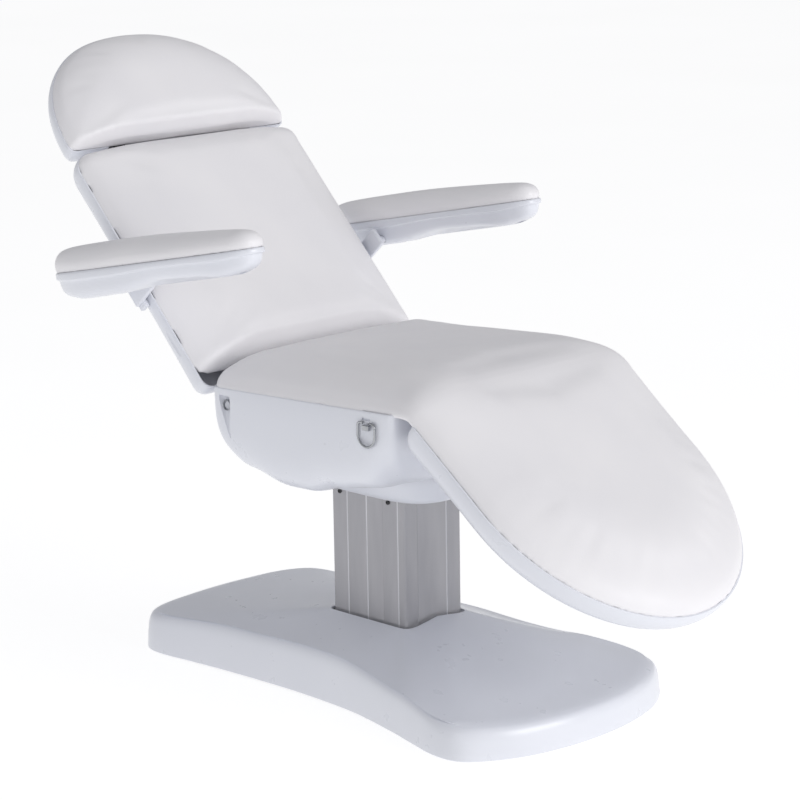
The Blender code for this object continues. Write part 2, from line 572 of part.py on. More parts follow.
# ---------------------------------------------------------------- back
def make_back():
    out = back_outline(-0.002, HEAD_AXIS_U - 0.006, BACK_HALF)
    spine = (-0.34, -0.22)
    shell = tray("back_shell", out, spine, BACK_SEAM - GAP, 0.055, 0.048, 0.004, back, "moulded_white")
    cut(shell, box("back_low_mouth", (-0.030, -0.186, -0.0270), (0.040, 0.186, 0.060), back, None))
    cut(shell, box("back_lever_slot", (-0.066, BACK_ROD[0] - 0.012, -0.080), (0.040, BACK_ROD[0] + 0.012, 0.060), back, None))
    cut(shell, box("back_top_mouth", (-HEAD_AXIS_U - 0.03, -0.186, -0.0285), (-HEAD_AXIS_U + 0.030, 0.186, 0.060), back, None))

    pad_out = back_outline(0.0285, HEAD_AXIS_U - 0.0045, BACK_HALF)
    slope = math.tan(math.radians(36.5))
    done = []
    for ring in pad_rings(pad_out, spine, lambda x: BACK_SEAM, PAD):
        new = []
        for x, y, z in ring:
            low = -max(0.0235, z * slope + 0.001)
            h = z - BACK_SEAM
            top = -(HEAD_AXIS_U - 0.0045) + 0.070 * (1 - math.sqrt(max(0.0, 1 - (h / (PAD + 0.004)) ** 2)))
            new.append((max(min(x, low), top), y, z))
        done.append(new)
    loft("back_pad", done, back, "white_vinyl", dome=(spine[0], 0, BACK_SEAM + PAD))

    # side plates, with the lever for the actuator on the right one's cross tube
    u0 = HEAD_AXIS_U
    outline = [(0.012, -0.010), (0.012, 0.008), (-0.004, 0.0125), (-0.060, 0.006), (-u0 + 0.018, 0.006), (-u0 - 0.006, 0.0125),
               (-u0 - 0.013, 0.004), (-u0 - 0.010, -0.010), (-u0 + 0.035, -0.0135), (-u0 + 0.110, -0.0220), (-0.080, -0.0240), (-0.020, -0.020)]
    holes = [(0.0, 0.0, PIN_R + GAP), (-u0, 0.0, PIN_R + GAP)]
    for tag, side in (("left", 1), ("right", -1)):
        plate("back_plate_" + tag, outline, holes, side * (ARM_PLATE_Y + 0.004), PLATE_T, back, "steel")
    turned("head_hinge_pin", "Y", (-u0, 0, 0), [(-0.172, PIN_R), (0.172, PIN_R)], back, "steel", 16)

    # cross tube between the plates, with the eyed lever that the actuator's rod pushes
    span = ARM_PLATE_Y - GAP
    beam = turned("back_lever", "Y", (-0.045, 0, -0.010), [(-span, 0.0110), (span, 0.0110)], back, "steel", 16)
    lx, lz = LEVER_R * math.sin(BACK_MID), -LEVER_R * math.cos(BACK_MID)
    blade = [(-0.050, -0.018)] + around(lx, lz, 0.0165, 245.0) + [(-0.041, -0.003)]
    join(beam, plate_solid("back_lever_blade", blade, [(lx, lz, 0.0110)], BACK_ROD[0], 0.008, back))


def make_arms():
    for tag, side in (("left", 1), ("right", -1)):
        pivot = empty("axis_arm_" + tag, (-ARM_AXIS_U, side * ARM_Y, ARM_AXIS_V), -ARM_ANGLE - BACK_ANGLE, back)
        n, L0, L1, W = 30, -0.175, 0.408, 0.0550
        mid, half = (L0 + L1) / 2, (L1 - L0) / 2
        out = [(mid + half * power(math.cos(2 * math.pi * i / n), 2 / 3.4), W * power(math.sin(2 * math.pi * i / n), 2 / 2.7)) for i in range(n)]
        spine = (L0 + 0.06, L1 - 0.06)
        rim = 0.040

        def deep(x):
            return through(x, [(-0.175, 0.046), (-0.09, 0.056), (0.02, 0.054), (0.17, 0.0375), (0.25, 0.040), (0.33, 0.046), (0.41, 0.034)])

        def row(d, f):
            return [(x, y, rim - f * deep(x)) for x, y in inset(out, d, spine)]

        rings = [row(0.034, 1.0), row(0.020, 0.93), row(0.010, 0.72), row(0.0055, 0.36), row(0.0015, 0.30), row(0.0, 0.26), row(0.0, 0.0),
                 row(0.0040, 0.0), row(0.0095, 0.38), row(0.0140, 0.70), row(0.0240, 0.88), row(0.036, 0.92)]
        shell = loft("arm_shell_" + tag, rings, pivot, "moulded_white")
        hole = turned("arm_hole_" + tag, "Y", (0, 0, 0), sorted([(-side * 0.080, 0.0080), (-side * 0.030, 0.0080)]), pivot, None, 16)
        cut(shell, hole)

        rings = []
        for d, h in ((0.0010, GAP), (-0.0005, 0.012), (0.004, 0.029), (0.016, 0.042)):
            rings.append([(x, y, rim + h * (0.78 + 0.22 * smooth((L1 - x) / 0.35))) for x, y in inset(out, d, spine)])
        loft("arm_pad_" + tag, rings, pivot, "white_vinyl", dome=(mid, 0, rim + 0.047))

        # bracket: a foot on the back shell's side, a lug beside the armrest and the arm's pin
        lo, hi = sorted((side * 0.3040, side * 0.3145))
        lug = box("arm_bracket_" + tag, (-ARM_AXIS_U - 0.020, lo, -0.014), (-ARM_AXIS_U + 0.020, hi, ARM_AXIS_V + 0.015), back, "moulded_white", 0.003)
        lo, hi = sorted((side * (BACK_HALF + 0.0010), side * 0.3080))
        join(lug, box("arm_foot_" + tag, (-ARM_AXIS_U - 0.030, lo, -0.014), (-ARM_AXIS_U + 0.030, hi, 0.006), back, None, 0.002))
        join(lug, turned("arm_pin_" + tag, "Y", (-ARM_AXIS_U, 0, ARM_AXIS_V), sorted([(side * 0.3100, 0.0072), (side * 0.3440, 0.0072)]), back, None, 16))


def make_head():
    out = dome_outline(0.003, 0.012, 0.272, HEAD_HALF, 2.15, 20, -1)
    spine = (-0.11, -0.07)
    shell = tray("head_shell", out, spine, BACK_SEAM - GAP, 0.048, 0.042, 0.004, head, "moulded_white")
    cut(shell, box("head_low_mouth", (-0.045, -0.190, -0.0170), (0.020, 0.190, 0.060), head, None))
    pad_out = dome_outline(0.0045, 0.012, 0.272, HEAD_HALF, 2.15, 20, -1)
    rings = pad_rings(pad_out, spine, lambda x: BACK_SEAM, PAD)
    rings = [[(min(x, -0.0045), y, z) for x, y, z in ring] for ring in rings]
    loft("head_pad", rings, head, "white_vinyl", dome=(-0.10, 0, BACK_SEAM + PAD))
    # hinge frame: two arms on the head pin, joined by a plate under the cushion
    bar = box("head_frame", (-0.150, -0.1480, -0.0120), (-0.050, 0.1480, -0.0040), head, "steel")
    for tag, side in (("left", 1), ("right", -1)):
        join(bar, plate_solid("head_arm_" + tag, [(-0.150, -0.014), (-0.006, -0.012), (0.010, -0.008), (0.012, 0.006), (0.0, 0.013),
                                                  (-0.060, 0.010), (-0.150, -0.002)], [(0.0, 0.0, PIN_R + GAP)], side * 0.1445, 0.008, head))


# ---------------------------------------------------------------- leg rest
def make_leg():
    out = dome_outline(0.000, 0.209, 0.5366, HALF_WIDTH - 0.002, 2.0, 22, 1)
    spine = (0.20, 0.30)
    shell = tray("leg_shell", out, spine, LEG_SEAM - GAP, 0.062, 0.050, 0.004, leg, "moulded_white")
    cut(shell, box("leg_near_mouth", (-0.020, -0.186, -0.0138), (0.050, 0.186, 0.080), leg, None))
    cut(shell, box("leg_lever_slot", (-0.020, LEG_ROD[0] - 0.012, -0.080), (0.078, LEG_ROD[0] + 0.012, 0.080), leg, None))
    pad_out = dome_outline(0.0065, 0.209, 0.5366, HALF_WIDTH - 0.002, 2.0, 22, 1)
    rings = pad_rings(pad_out, spine, lambda x: LEG_SEAM, PAD)
    rings = [[(max(x, 0.0065), y, z) for x, y, z in ring] for ring in rings]
    loft("leg_pad", rings, leg, "white_vinyl", dome=(0.24, 0, LEG_SEAM + PAD))
    outline = [(-0.012, -0.006), (-0.004, -0.0125), (0.040, 0.000), (0.360, 0.000), (0.370, 0.010), (0.370, 0.030), (0.060, 0.030),
               (0.006, 0.0145), (-0.008, 0.0110)]
    for tag, side in (("left", 1), ("right", -1)):
        plate("leg_plate_" + tag, outline, [(0.0, 0.0, PIN_R + GAP)], side * (ARM_PLATE_Y + 0.004), PLATE_T, leg, "steel")
    span = ARM_PLATE_Y - GAP
    beam = turned("leg_lever", "Y", (0.052, 0, 0.012), [(-span, 0.0100), (span, 0.0100)], leg, "steel", 16)
    lx, lz = LEG_LEVER_R * math.sin(LEG_MID), -LEG_LEVER_R * math.cos(LEG_MID)
    blade = around(lx, lz, 0.0165, 160.0) + [(0.0600, 0.0080), (0.0440, 0.0150)]
    join(beam, plate_solid("leg_lever_blade", blade, [(lx, lz, 0.0110)], LEG_ROD[0], 0.008, leg))
    # small grip bar under the foot end
    grip = rounded([(0.452, -0.0300, 0.004), (0.470, -0.0300, 0.004), (0.470, 0.0300, 0.004), (0.452, 0.0300, 0.004)], 2)
    loft("leg_grip", [lift(grip, -0.0175), lift(grip, -0.0260), lift(inset(grip, 0.002, (0.460, 0.462)), -0.0290)], leg, "grey_plastic")


# ---------------------------------------------------------------- handset rings
def make_rings():
    for tag, side in (("left", 1), ("right", -1)):
        pivot = empty("axis_ring_" + tag, (RING_X, side * 0.3062, RING_Z - 0.0010), parent=seat_axes)
        r, w, drop, n, m = 0.0021, 0.0185, 0.0240, 7, 12
        path = [(-0.0085, 0.0), (-0.0140, 0.0), (-w, -0.0030), (-w, -0.012)]
        path += [(-w * math.cos(math.pi * k / m), -drop - w * math.sin(math.pi * k / m)) for k in range(m + 1)]
        path += [(w, -0.012), (w, -0.0030), (0.0140, 0.0), (0.0085, 0.0)]
        pts = [Vector((x, 0.0, z)) for x, z in path]
        rings = []
        for i, p in enumerate(pts):
            t = (pts[min(i + 1, len(pts) - 1)] - pts[max(i - 1, 0)]).normalized()
            b = Vector((0, 1, 0))
            c = t.cross(b).normalized()
            rings.append([tuple(p + b * (r * u) + c * (r * v)) for u, v in circle(n, 1.0, 0.5)])
        loft("handset_ring_" + tag, rings, pivot, "chrome")


make_base()
make_column()
make_tilt_bracket()
make_bowl()
make_seat()
make_rods()
make_back()
make_arms()
make_head()
make_leg()
make_rings()
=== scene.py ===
"""Looks of the electric facial treatment bed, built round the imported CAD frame.
Metres, +Z up, +X towards the feet, +Y to the left of a person lying on it."""
import math

import bmesh
import bpy
import numpy as np
from mathutils import Matrix, Vector, noise


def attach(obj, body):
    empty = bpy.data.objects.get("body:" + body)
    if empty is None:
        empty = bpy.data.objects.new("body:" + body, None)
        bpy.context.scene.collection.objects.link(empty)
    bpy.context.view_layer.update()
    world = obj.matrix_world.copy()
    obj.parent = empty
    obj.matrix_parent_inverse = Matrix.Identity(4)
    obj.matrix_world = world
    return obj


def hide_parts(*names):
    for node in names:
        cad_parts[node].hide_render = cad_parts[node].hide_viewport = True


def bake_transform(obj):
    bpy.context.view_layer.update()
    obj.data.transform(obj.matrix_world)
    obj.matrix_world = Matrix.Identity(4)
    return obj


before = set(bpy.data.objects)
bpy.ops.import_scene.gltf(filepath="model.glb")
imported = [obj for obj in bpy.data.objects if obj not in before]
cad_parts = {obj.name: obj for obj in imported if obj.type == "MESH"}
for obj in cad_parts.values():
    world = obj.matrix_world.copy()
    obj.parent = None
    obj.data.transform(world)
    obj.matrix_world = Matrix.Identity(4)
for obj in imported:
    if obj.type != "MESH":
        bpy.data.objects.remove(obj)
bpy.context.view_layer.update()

# ---------------------------------------------------------------- the frame's own dimensions, as in the CAD
CX = 0.0096
BACK, LEG, ARM = math.radians(47.0), math.radians(38.0), math.radians(11.0)
BACK_AXIS, KNEE_AXIS, TILT_AXIS = (-0.2295, 0.590), (0.312, 0.5824), (-0.070, 0.492)
HEAD_U = 0.570
ARM_U, ARM_V, ARM_Y = 0.239, 0.046, 0.3745
SEAT_HALF, BACK_HALF, HEAD_HALF, LEG_HALF = 0.302, 0.296, 0.288, 0.300
BACK_SEAM, LEG_SEAM = 0.021, 0.045
SEAM_Z, SEAM_SLOPE = 0.6180, 0.033
PAD = 0.065
COL_X, COL_Y = 0.100, 0.077


def seat_pt(x, y, z):
    return (CX + x, y, z)


def back_pt(x, y, z):
    return (CX + BACK_AXIS[0] + x * math.cos(BACK) + z * math.sin(BACK), y, BACK_AXIS[1] - x * math.sin(BACK) + z * math.cos(BACK))


def head_pt(x, y, z):
    return back_pt(x - HEAD_U, y, z)


def leg_pt(x, y, z):
    return (CX + KNEE_AXIS[0] + x * math.cos(LEG) + z * math.sin(LEG), y, KNEE_AXIS[1] - x * math.sin(LEG) + z * math.cos(LEG))


def arm_pt(side):
    px, _, pz = back_pt(-ARM_U, 0, ARM_V)
    return lambda x, y, z: (px + x * math.cos(ARM) - z * math.sin(ARM), side * ARM_Y + y, pz + x * math.sin(ARM) + z * math.cos(ARM))


def seam_z(x):
    return SEAM_Z + SEAM_SLOPE * x


def power(v, e):
    return math.copysign(abs(v) ** e, v)


def smooth(t):
    t = min(max(t, 0.0), 1.0)
    return t * t * (3 - 2 * t)


def through(x, knots):
    if x <= knots[0][0]:
        return knots[0][1]
    for (x0, a), (x1, b) in zip(knots, knots[1:]):
        if x <= x1:
            return a + (b - a) * smooth((x - x0) / (x1 - x0))
    return knots[-1][1]


# ---------------------------------------------------------------- materials
MATS = {}


class Tree:
    """A short way to write node trees."""

    def __init__(self, name):
        self.mat = bpy.data.materials.new(name)
        self.mat.use_nodes = True
        self.nt = self.mat.node_tree
        self.bsdf = self.nt.nodes["Principled BSDF"]
        MATS[name] = self.mat

    def node(self, kind, **values):
        n = self.nt.nodes.new(kind)
        for k, v in values.items():
            if k in n.inputs:
                n.inputs[k].default_value = v
            else:
                setattr(n, k, v)
        return n

    def link(self, a, b):
        self.nt.links.new(a, b)

    def set(self, **values):
        for k, v in values.items():
            self.bsdf.inputs[k.replace("_", " ")].default_value = v

    def coords(self, scale=(1, 1, 1)):
        t = self.node("ShaderNodeTexCoord")
        m = self.node("ShaderNodeMapping")
        m.inputs["Scale"].default_value = scale
        self.link(t.outputs["Object"], m.inputs["Vector"])
        return m.outputs["Vector"]

    def noise(self, vec, scale, detail=3.0, rough=0.55):
        n = self.node("ShaderNodeTexNoise", Scale=scale, Detail=detail, Roughness=rough)
        self.link(vec, n.inputs["Vector"])
        return n.outputs["Fac"]

    def ramp(self, fac, stops):
        r = self.node("ShaderNodeValToRGB")
        e = r.color_ramp.elements
        while len(e) < len(stops):
            e.new(0.5)
        for el, (p, c) in zip(e, stops):
            el.position = p
            el.color = (*c, 1.0) if len(c) == 3 else c
        self.link(fac, r.inputs["Fac"])
        return r.outputs["Color"]

    def span(self, fac, lo, hi):
        m = self.node("ShaderNodeMapRange")
        m.inputs["From Min"].default_value, m.inputs["From Max"].default_value = 0.3, 0.7
        m.inputs["To Min"].default_value, m.inputs["To Max"].default_value = lo, hi
        self.link(fac, m.inputs["Value"])
        return m.outputs["Result"]

    def bump(self, height, strength, distance, normal=None):
        b = self.node("ShaderNodeBump", Strength=strength, Distance=distance)
        self.link(height, b.inputs["Height"])
        if normal is not None:
            self.link(normal, b.inputs["Normal"])
        return b.outputs["Normal"]

    def out(self, socket, name):
        self.link(socket, self.bsdf.inputs[name])


def make_materials():
    # white vinyl: fine pebbled grain, slight cloudiness, soft sheen
    t = Tree("white_vinyl")
    v = t.coords()
    big = t.noise(v, 5.0, 2.0)
    t.out(t.ramp(big, [(0.30, (0.800, 0.790, 0.815)), (0.70, (0.835, 0.823, 0.842))]), "Base Color")
    t.out(t.span(t.noise(v, 38.0, 3.0), 0.40, 0.50), "Roughness")
    vor = t.node("ShaderNodeTexVoronoi", Scale=620.0, feature="F1")
    t.link(v, vor.inputs["Vector"])
    grain = t.bump(vor.outputs["Distance"], 0.16, 0.0004)
    soft = t.bump(t.noise(v, 14.0, 2.0), 0.10, 0.003, grain)
    t.out(soft, "Normal")
    t.set(Specular_IOR_Level=0.42)

    # moulded shell: cool white, satin gloss
    t = Tree("moulded_white")
    v = t.coords()
    t.out(t.ramp(t.noise(v, 3.0, 2.0), [(0.30, (0.725, 0.740, 0.800)), (0.70, (0.755, 0.770, 0.825))]), "Base Color")
    t.out(t.span(t.noise(v, 22.0, 3.0), 0.27, 0.33), "Roughness")
    t.set(Specular_IOR_Level=0.5, Coat_Weight=0.15, Coat_Roughness=0.18)

    # satin anodised extrusion: fine drawn lines along Z
    t = Tree("aluminium")
    v = t.coords((1.0, 1.0, 0.012))
    lines = t.noise(v, 900.0, 4.0, 0.7)
    broad = t.noise(t.coords((1.0, 1.0, 0.15)), 30.0, 2.0)
    t.out(t.ramp(broad, [(0.25, (0.365, 0.362, 0.385)), (0.75, (0.420, 0.416, 0.438))]), "Base Color")
    t.out(t.span(lines, 0.34, 0.48), "Roughness")
    t.out(t.bump(lines, 0.10, 0.0003), "Normal")
    t.set(Metallic=0.55, Specular_IOR_Level=0.5)

    t = Tree("aluminium_bright")   # painted highlight: a lighter, glossier aluminium for the floor of each groove, so the grooves show as bright lines
    v = t.coords((1.0, 1.0, 0.02))
    t.out(t.ramp(t.noise(v, 300.0, 3.0), [(0.3, (0.58, 0.58, 0.61)), (0.7, (0.68, 0.68, 0.71))]), "Base Color")
    t.out(t.span(t.noise(v, 500.0, 3.0), 0.28, 0.42), "Roughness")
    t.set(Metallic=0.35)

    t = Tree("chrome")
    v = t.coords()
    t.out(t.ramp(t.noise(v, 40.0, 2.0), [(0.3, (0.36, 0.37, 0.39)), (0.7, (0.44, 0.45, 0.47))]), "Base Color")
    t.out(t.span(t.noise(v, 220.0, 3.0), 0.05, 0.12), "Roughness")
    t.set(Metallic=1.0)

    t = Tree("steel")   # grey powder coat
    v = t.coords()
    t.out(t.ramp(t.noise(v, 12.0, 3.0), [(0.3, (0.105, 0.108, 0.115)), (0.7, (0.135, 0.138, 0.145))]), "Base Color")
    t.out(t.span(t.noise(v, 90.0, 3.0), 0.42, 0.58), "Roughness")
    t.out(t.bump(t.noise(v, 700.0, 2.0), 0.20, 0.0004), "Normal")
    t.set(Metallic=0.3)

    t = Tree("black_rubber")
    v = t.coords()
    t.out(t.ramp(t.noise(v, 25.0, 3.0), [(0.3, (0.022, 0.022, 0.024)), (0.7, (0.045, 0.045, 0.048))]), "Base Color")
    t.out(t.span(t.noise(v, 120.0, 3.0), 0.55, 0.75), "Roughness")
    t.out(t.bump(t.noise(v, 500.0, 2.0), 0.20, 0.0004), "Normal")

    t = Tree("gasket_grey")
    v = t.coords()
    t.out(t.ramp(t.noise(v, 30.0, 3.0), [(0.3, (0.13, 0.13, 0.145)), (0.7, (0.19, 0.19, 0.205))]), "Base Color")
    t.out(t.span(t.noise(v, 120.0, 3.0), 0.45, 0.65), "Roughness")
    t.out(t.bump(t.noise(v, 500.0, 2.0), 0.15, 0.0004), "Normal")

    t = Tree("grey_plastic")
    v = t.coords()
    t.out(t.ramp(t.noise(v, 18.0, 3.0), [(0.3, (0.40, 0.41, 0.44)), (0.7, (0.46, 0.47, 0.50))]), "Base Color")
    t.out(t.span(t.noise(v, 80.0, 3.0), 0.38, 0.5), "Roughness")
    t.out(t.bump(t.noise(v, 420.0, 2.0), 0.15, 0.0004), "Normal")

    t = Tree("black_plastic")
    v = t.coords()
    t.out(t.ramp(t.noise(v, 18.0, 3.0), [(0.3, (0.018, 0.018, 0.020)), (0.7, (0.032, 0.032, 0.035))]), "Base Color")
    t.out(t.span(t.noise(v, 80.0, 3.0), 0.36, 0.5), "Roughness")
    t.out(t.bump(t.noise(v, 420.0, 2.0), 0.15, 0.0004), "Normal")

    t = Tree("stage_floor")
    v = t.coords()
    t.out(t.ramp(t.noise(v, 0.6, 2.0), [(0.3, (0.34, 0.34, 0.345)), (0.7, (0.36, 0.36, 0.365))]), "Base Color")
    t.set(Roughness=0.95, Specular_IOR_Level=0.0)
    t.bsdf.inputs["Emission Color"].default_value = (1, 1, 1, 1)
    t.bsdf.inputs["Emission Strength"].default_value = FLOOR_GLOW


# ---------------------------------------------------------------- mesh helpers
def finish_mesh(name, verts, faces, mat, sharp=None):
    mesh = bpy.data.meshes.new(name)
    mesh.from_pydata([tuple(v) for v in verts], [], faces)
    bm = bmesh.new()
    bm.from_mesh(mesh)
    bmesh.ops.recalc_face_normals(bm, faces=bm.faces)
    bm.to_mesh(mesh)
    bm.free()
    mesh.shade_smooth()
    if sharp:
        mesh.set_sharp_from_angle(angle=math.radians(sharp))
    obj = bpy.data.objects.new(name, mesh)
    bpy.context.scene.collection.objects.link(obj)
    mesh.materials.append(MATS[mat])
    return obj


def loft(name, rings, mat, loop=False, caps=(True, True), sharp=None):
    n, m = len(rings[0]), len(rings)
    verts = [p for r in rings for p in r]
    faces = []
    for i in range(m if loop else m - 1):
        a, b = i * n, ((i + 1) % m) * n
        for j in range(n):
            k = (j + 1) % n
            faces.append((a + j, a + k, b + k, b + j))
    if not loop:
        for ring, flip, want in ((0, True, caps[0]), (m - 1, False, caps[1])):
            if want:
                c = len(verts)
                pts = np.array([verts[ring * n + j] for j in range(n)])
                verts.append(tuple(pts.mean(0)))
                for j in range(n):
                    a, b = ring * n + j, ring * n + (j + 1) % n
                    faces.append((b, a, c) if flip else (a, b, c))
    return finish_mesh(name, verts, faces, mat, sharp)


def resample(pts, step):
    """A closed outline with even spacing."""
    p = np.array(pts, float)
    d = np.linalg.norm(np.roll(p, -1, 0) - p, axis=1)
    s = np.concatenate([[0], np.cumsum(d)])
    n = max(12, int(round(s[-1] / step)))
    at = np.arange(n) * s[-1] / n
    q = np.vstack([p, p[:1]])
    return np.stack([np.interp(at, s, q[:, k]) for k in range(p.shape[1])], 1)


def normals2(p):
    """Inward normals of an anticlockwise outline."""
    t = np.roll(p, -1, 0) - np.roll(p, 1, 0)
    t /= np.linalg.norm(t, axis=1)[:, None]
    return np.stack([-t[:, 1], t[:, 0]], 1)


def area2(p):
    x, y = p[:, 0], p[:, 1]
    return 0.5 * float(np.sum(x * np.roll(y, -1) - y * np.roll(x, -1)))


def rounded(corners, steps=10):
    out = []
    n = len(corners)
    for i, (x, y, r) in enumerate(corners):
        p = Vector((x, y))
        a = (Vector(corners[i - 1][:2]) - p).normalized()
        b = (Vector(corners[(i + 1) % n][:2]) - p).normalized()
        half = a.angle(b) / 2
        t = r / math.tan(half)
        c = p + (a + b).normalized() * (r / math.sin(half))
        s, e = p + a * t - c, p + b * t - c
        turn = math.atan2(s.x * e.y - s.y * e.x, s.dot(e))
        for k in range(steps + 1):
            w = turn * k / steps
            out.append((c.x + s.x * math.cos(w) - s.y * math.sin(w), c.y + s.x * math.sin(w) + s.y * math.cos(w)))
    return out


def toward(p, spine, k):
    """Scales each point towards the nearest point of the spine, a stretch of the X axis."""
    s = np.clip(p[:, 0], spine[0], spine[1])
    q = p.copy()
    q[:, 0] = s + (p[:, 0] - s) * k
    q[:, 1] = p[:, 1] * k
    return q


def cut(obj, cutter):
    """A Boolean difference, applied at once."""
    b = obj.modifiers.new("cut", "BOOLEAN")
    b.operation, b.solver, b.object = "DIFFERENCE", "EXACT", cutter
    apply(obj)
    bpy.data.objects.remove(cutter, do_unlink=True)


def join(obj, other):
    b = obj.modifiers.new("join", "BOOLEAN")
    b.operation, b.solver, b.object = "UNION", "EXACT", other
    apply(obj)
    bpy.data.objects.remove(other, do_unlink=True)


def apply(obj):
    dg = bpy.context.evaluated_depsgraph_get()
    mesh = bpy.data.meshes.new_from_object(obj.evaluated_get(dg), depsgraph=dg)
    old = obj.data
    obj.modifiers.clear()
    obj.data = mesh
    bpy.data.meshes.remove(old)


def sharpen(obj, angle):
    obj.data.shade_smooth()
    obj.data.set_sharp_from_angle(angle=math.radians(angle))


def block(name, low, high, place, mat="moulded_white", bevel=0.0, segments=3):
    bm = bmesh.new()
    bmesh.ops.create_cube(bm, size=1.0)
    for v in bm.verts:
        v.co = Vector([low[i] + (v.co[i] + 0.5) * (high[i] - low[i]) for i in range(3)])
    if bevel:
        bmesh.ops.bevel(bm, geom=bm.edges[:], offset=bevel, segments=segments, profile=0.5, affect="EDGES")
    for v in bm.verts:
        v.co = Vector(place(*v.co))
    bmesh.ops.recalc_face_normals(bm, faces=bm.faces)
    mesh = bpy.data.meshes.new(name)
    bm.to_mesh(mesh)
    bm.free()
    obj = bpy.data.objects.new(name, mesh)
    bpy.context.scene.collection.objects.link(obj)
    mesh.materials.append(MATS[mat])
    sharpen(obj, 35)
    return obj


def turned(name, axis, centre, profile, place, mat, n=40, sharp=30, loop=False):
    rings = []
    for s, r in profile:
        ring = []
        for i in range(n):
            w = 2 * math.pi * (i + 0.5) / n
            a, b = r * math.cos(w), r * math.sin(w)
            p = {"X": (s, a, b), "Y": (b, s, a), "Z": (a, b, s)}[axis]
            ring.append(place(*(centre[k] + p[k] for k in range(3))))
        rings.append(ring)
    return loft(name, rings, mat, loop=loop, sharp=sharp)


def tube_along(name, pts, radius, mat, n=16, closed=False):
    """A round bar swept along points."""
    pts = [Vector(p) for p in pts]
    rings = []
    ref = None
    m = len(pts)
    for i, p in enumerate(pts):
        a = pts[(i + 1) % m] if closed or i + 1 < m else p
        b = pts[i - 1] if closed or i > 0 else p
        t = (a - b).normalized()
        if ref is None:
            ref = t.orthogonal().normalized()
        ref = (ref - t * ref.dot(t)).normalized()
        c = t.cross(ref)
        r = radius(i / (m - 1)) if callable(radius) else radius
        rings.append([tuple(p + ref * (r * math.cos(2 * math.pi * k / n)) + c * (r * math.sin(2 * math.pi * k / n))) for k in range(n)])
    return loft(name, rings, mat, loop=closed)


FLOOR_GLOW = 0.80
make_materials()


# ---------------------------------------------------------------- shared outlines, drawn finely
def fine(pts, step=0.008):
    return resample(pts, step)


def base_outline():
    half = [(0.5280, 0.0), (0.5215, 0.0900), (0.4980, 0.1820), (0.4570, 0.2540), (0.4200, 0.2840), (0.3660, 0.2860),
            (0.2960, 0.2680), (0.2170, 0.2460), (0.0900, 0.2190), (-0.0550, 0.2090), (-0.1700, 0.2100), (-0.2840, 0.2150),
            (-0.3800, 0.2230), (-0.4640, 0.2300), (-0.5120, 0.2150), (-0.5370, 0.1650), (-0.5470, 0.0850), (-0.5510, 0.0)]
    pts = half + [(x, -y) for x, y in half[-2:0:-1]]
    n, out = len(pts), []
    for i in range(n):
        p0, p1, p2, p3 = pts[i - 1], pts[i], pts[(i + 1) % n], pts[(i + 2) % n]
        for j in range(10):
            t = j / 10
            out.append(tuple(0.5 * (2 * p1[a] + (p2[a] - p0[a]) * t + (2 * p0[a] - 5 * p1[a] + 4 * p2[a] - p3[a]) * t * t
                                    + (3 * p1[a] - p0[a] - 3 * p2[a] + p3[a]) * t ** 3) for a in (0, 1)))
    return resample(out, 0.012)


def base_rim(x):
    return through(x, [(-0.55, 0.083), (-0.25, 0.096), (0.0, 0.101), (0.25, 0.084), (0.45, 0.066), (0.53, 0.063)])


def rect_outline(x0, x1, half, r0, r1, step=0.008):
    return resample(rounded([(x0, -half, r0), (x1, -half, r1), (x1, half, r1), (x0, half, r0)], 10), step)


def dome_outline(near, straight, tip, half, e, side, step=0.008):
    """Flat end with small corners, then half a super-ellipse; side -1 points to -x, +1 to +x."""
    pts = [(near, -half + 0.012), (near + 0.0012, -half + 0.006), (near + 0.004, -half + 0.003), (near + 0.010, -half + 0.0004)]
    for k in range(161):
        w = -math.pi / 2 + math.pi * k / 160
        pts.append((straight + (tip - straight) * power(math.cos(w), 2 / e), half * power(math.sin(w), 2 / e)))
    pts += [(near + 0.010, half - 0.0004), (near + 0.004, half - 0.003), (near + 0.0012, half - 0.006), (near, half - 0.012)]
    if side < 0:
        pts = [(-x, y) for x, y in pts][::-1]
    return resample(pts, step)


def drawn_in(p, d, spine):
    """Moves each point by d towards the nearest point of the spine."""
    s = np.clip(p[:, 0], spine[0], spine[1])
    r = np.hypot(p[:, 0] - s, p[:, 1])
    k = np.maximum(0.03, 1.0 - d / np.maximum(r, 1e-6))
    return np.stack([s + (p[:, 0] - s) * k, p[:, 1] * k], 1)


# ---------------------------------------------------------------- cushions
def reach_of(outline, spine):
    s = np.clip(outline[:, 0], spine[0], spine[1])
    d = np.stack([outline[:, 0] - s, outline[:, 1]], 1)
    r = np.hypot(d[:, 0], d[:, 1])
    return s, d, r


def quarter(t):
    """The height of a quarter circle at t, from 0 at its edge to 1."""
    t = np.clip(t, 0.0, 1.0)
    return np.sqrt(np.maximum(0.0, 1 - (1 - t) ** 2))


def off_points(p, q):
    """Distance from each point of p to the nearest point of q."""
    out = np.empty(len(p))
    for i in range(0, len(p), 4000):
        out[i:i + 4000] = np.sqrt(((p[i:i + 4000, None, :] - q[None, :, :]) ** 2).sum(2)).min(1)
    return out


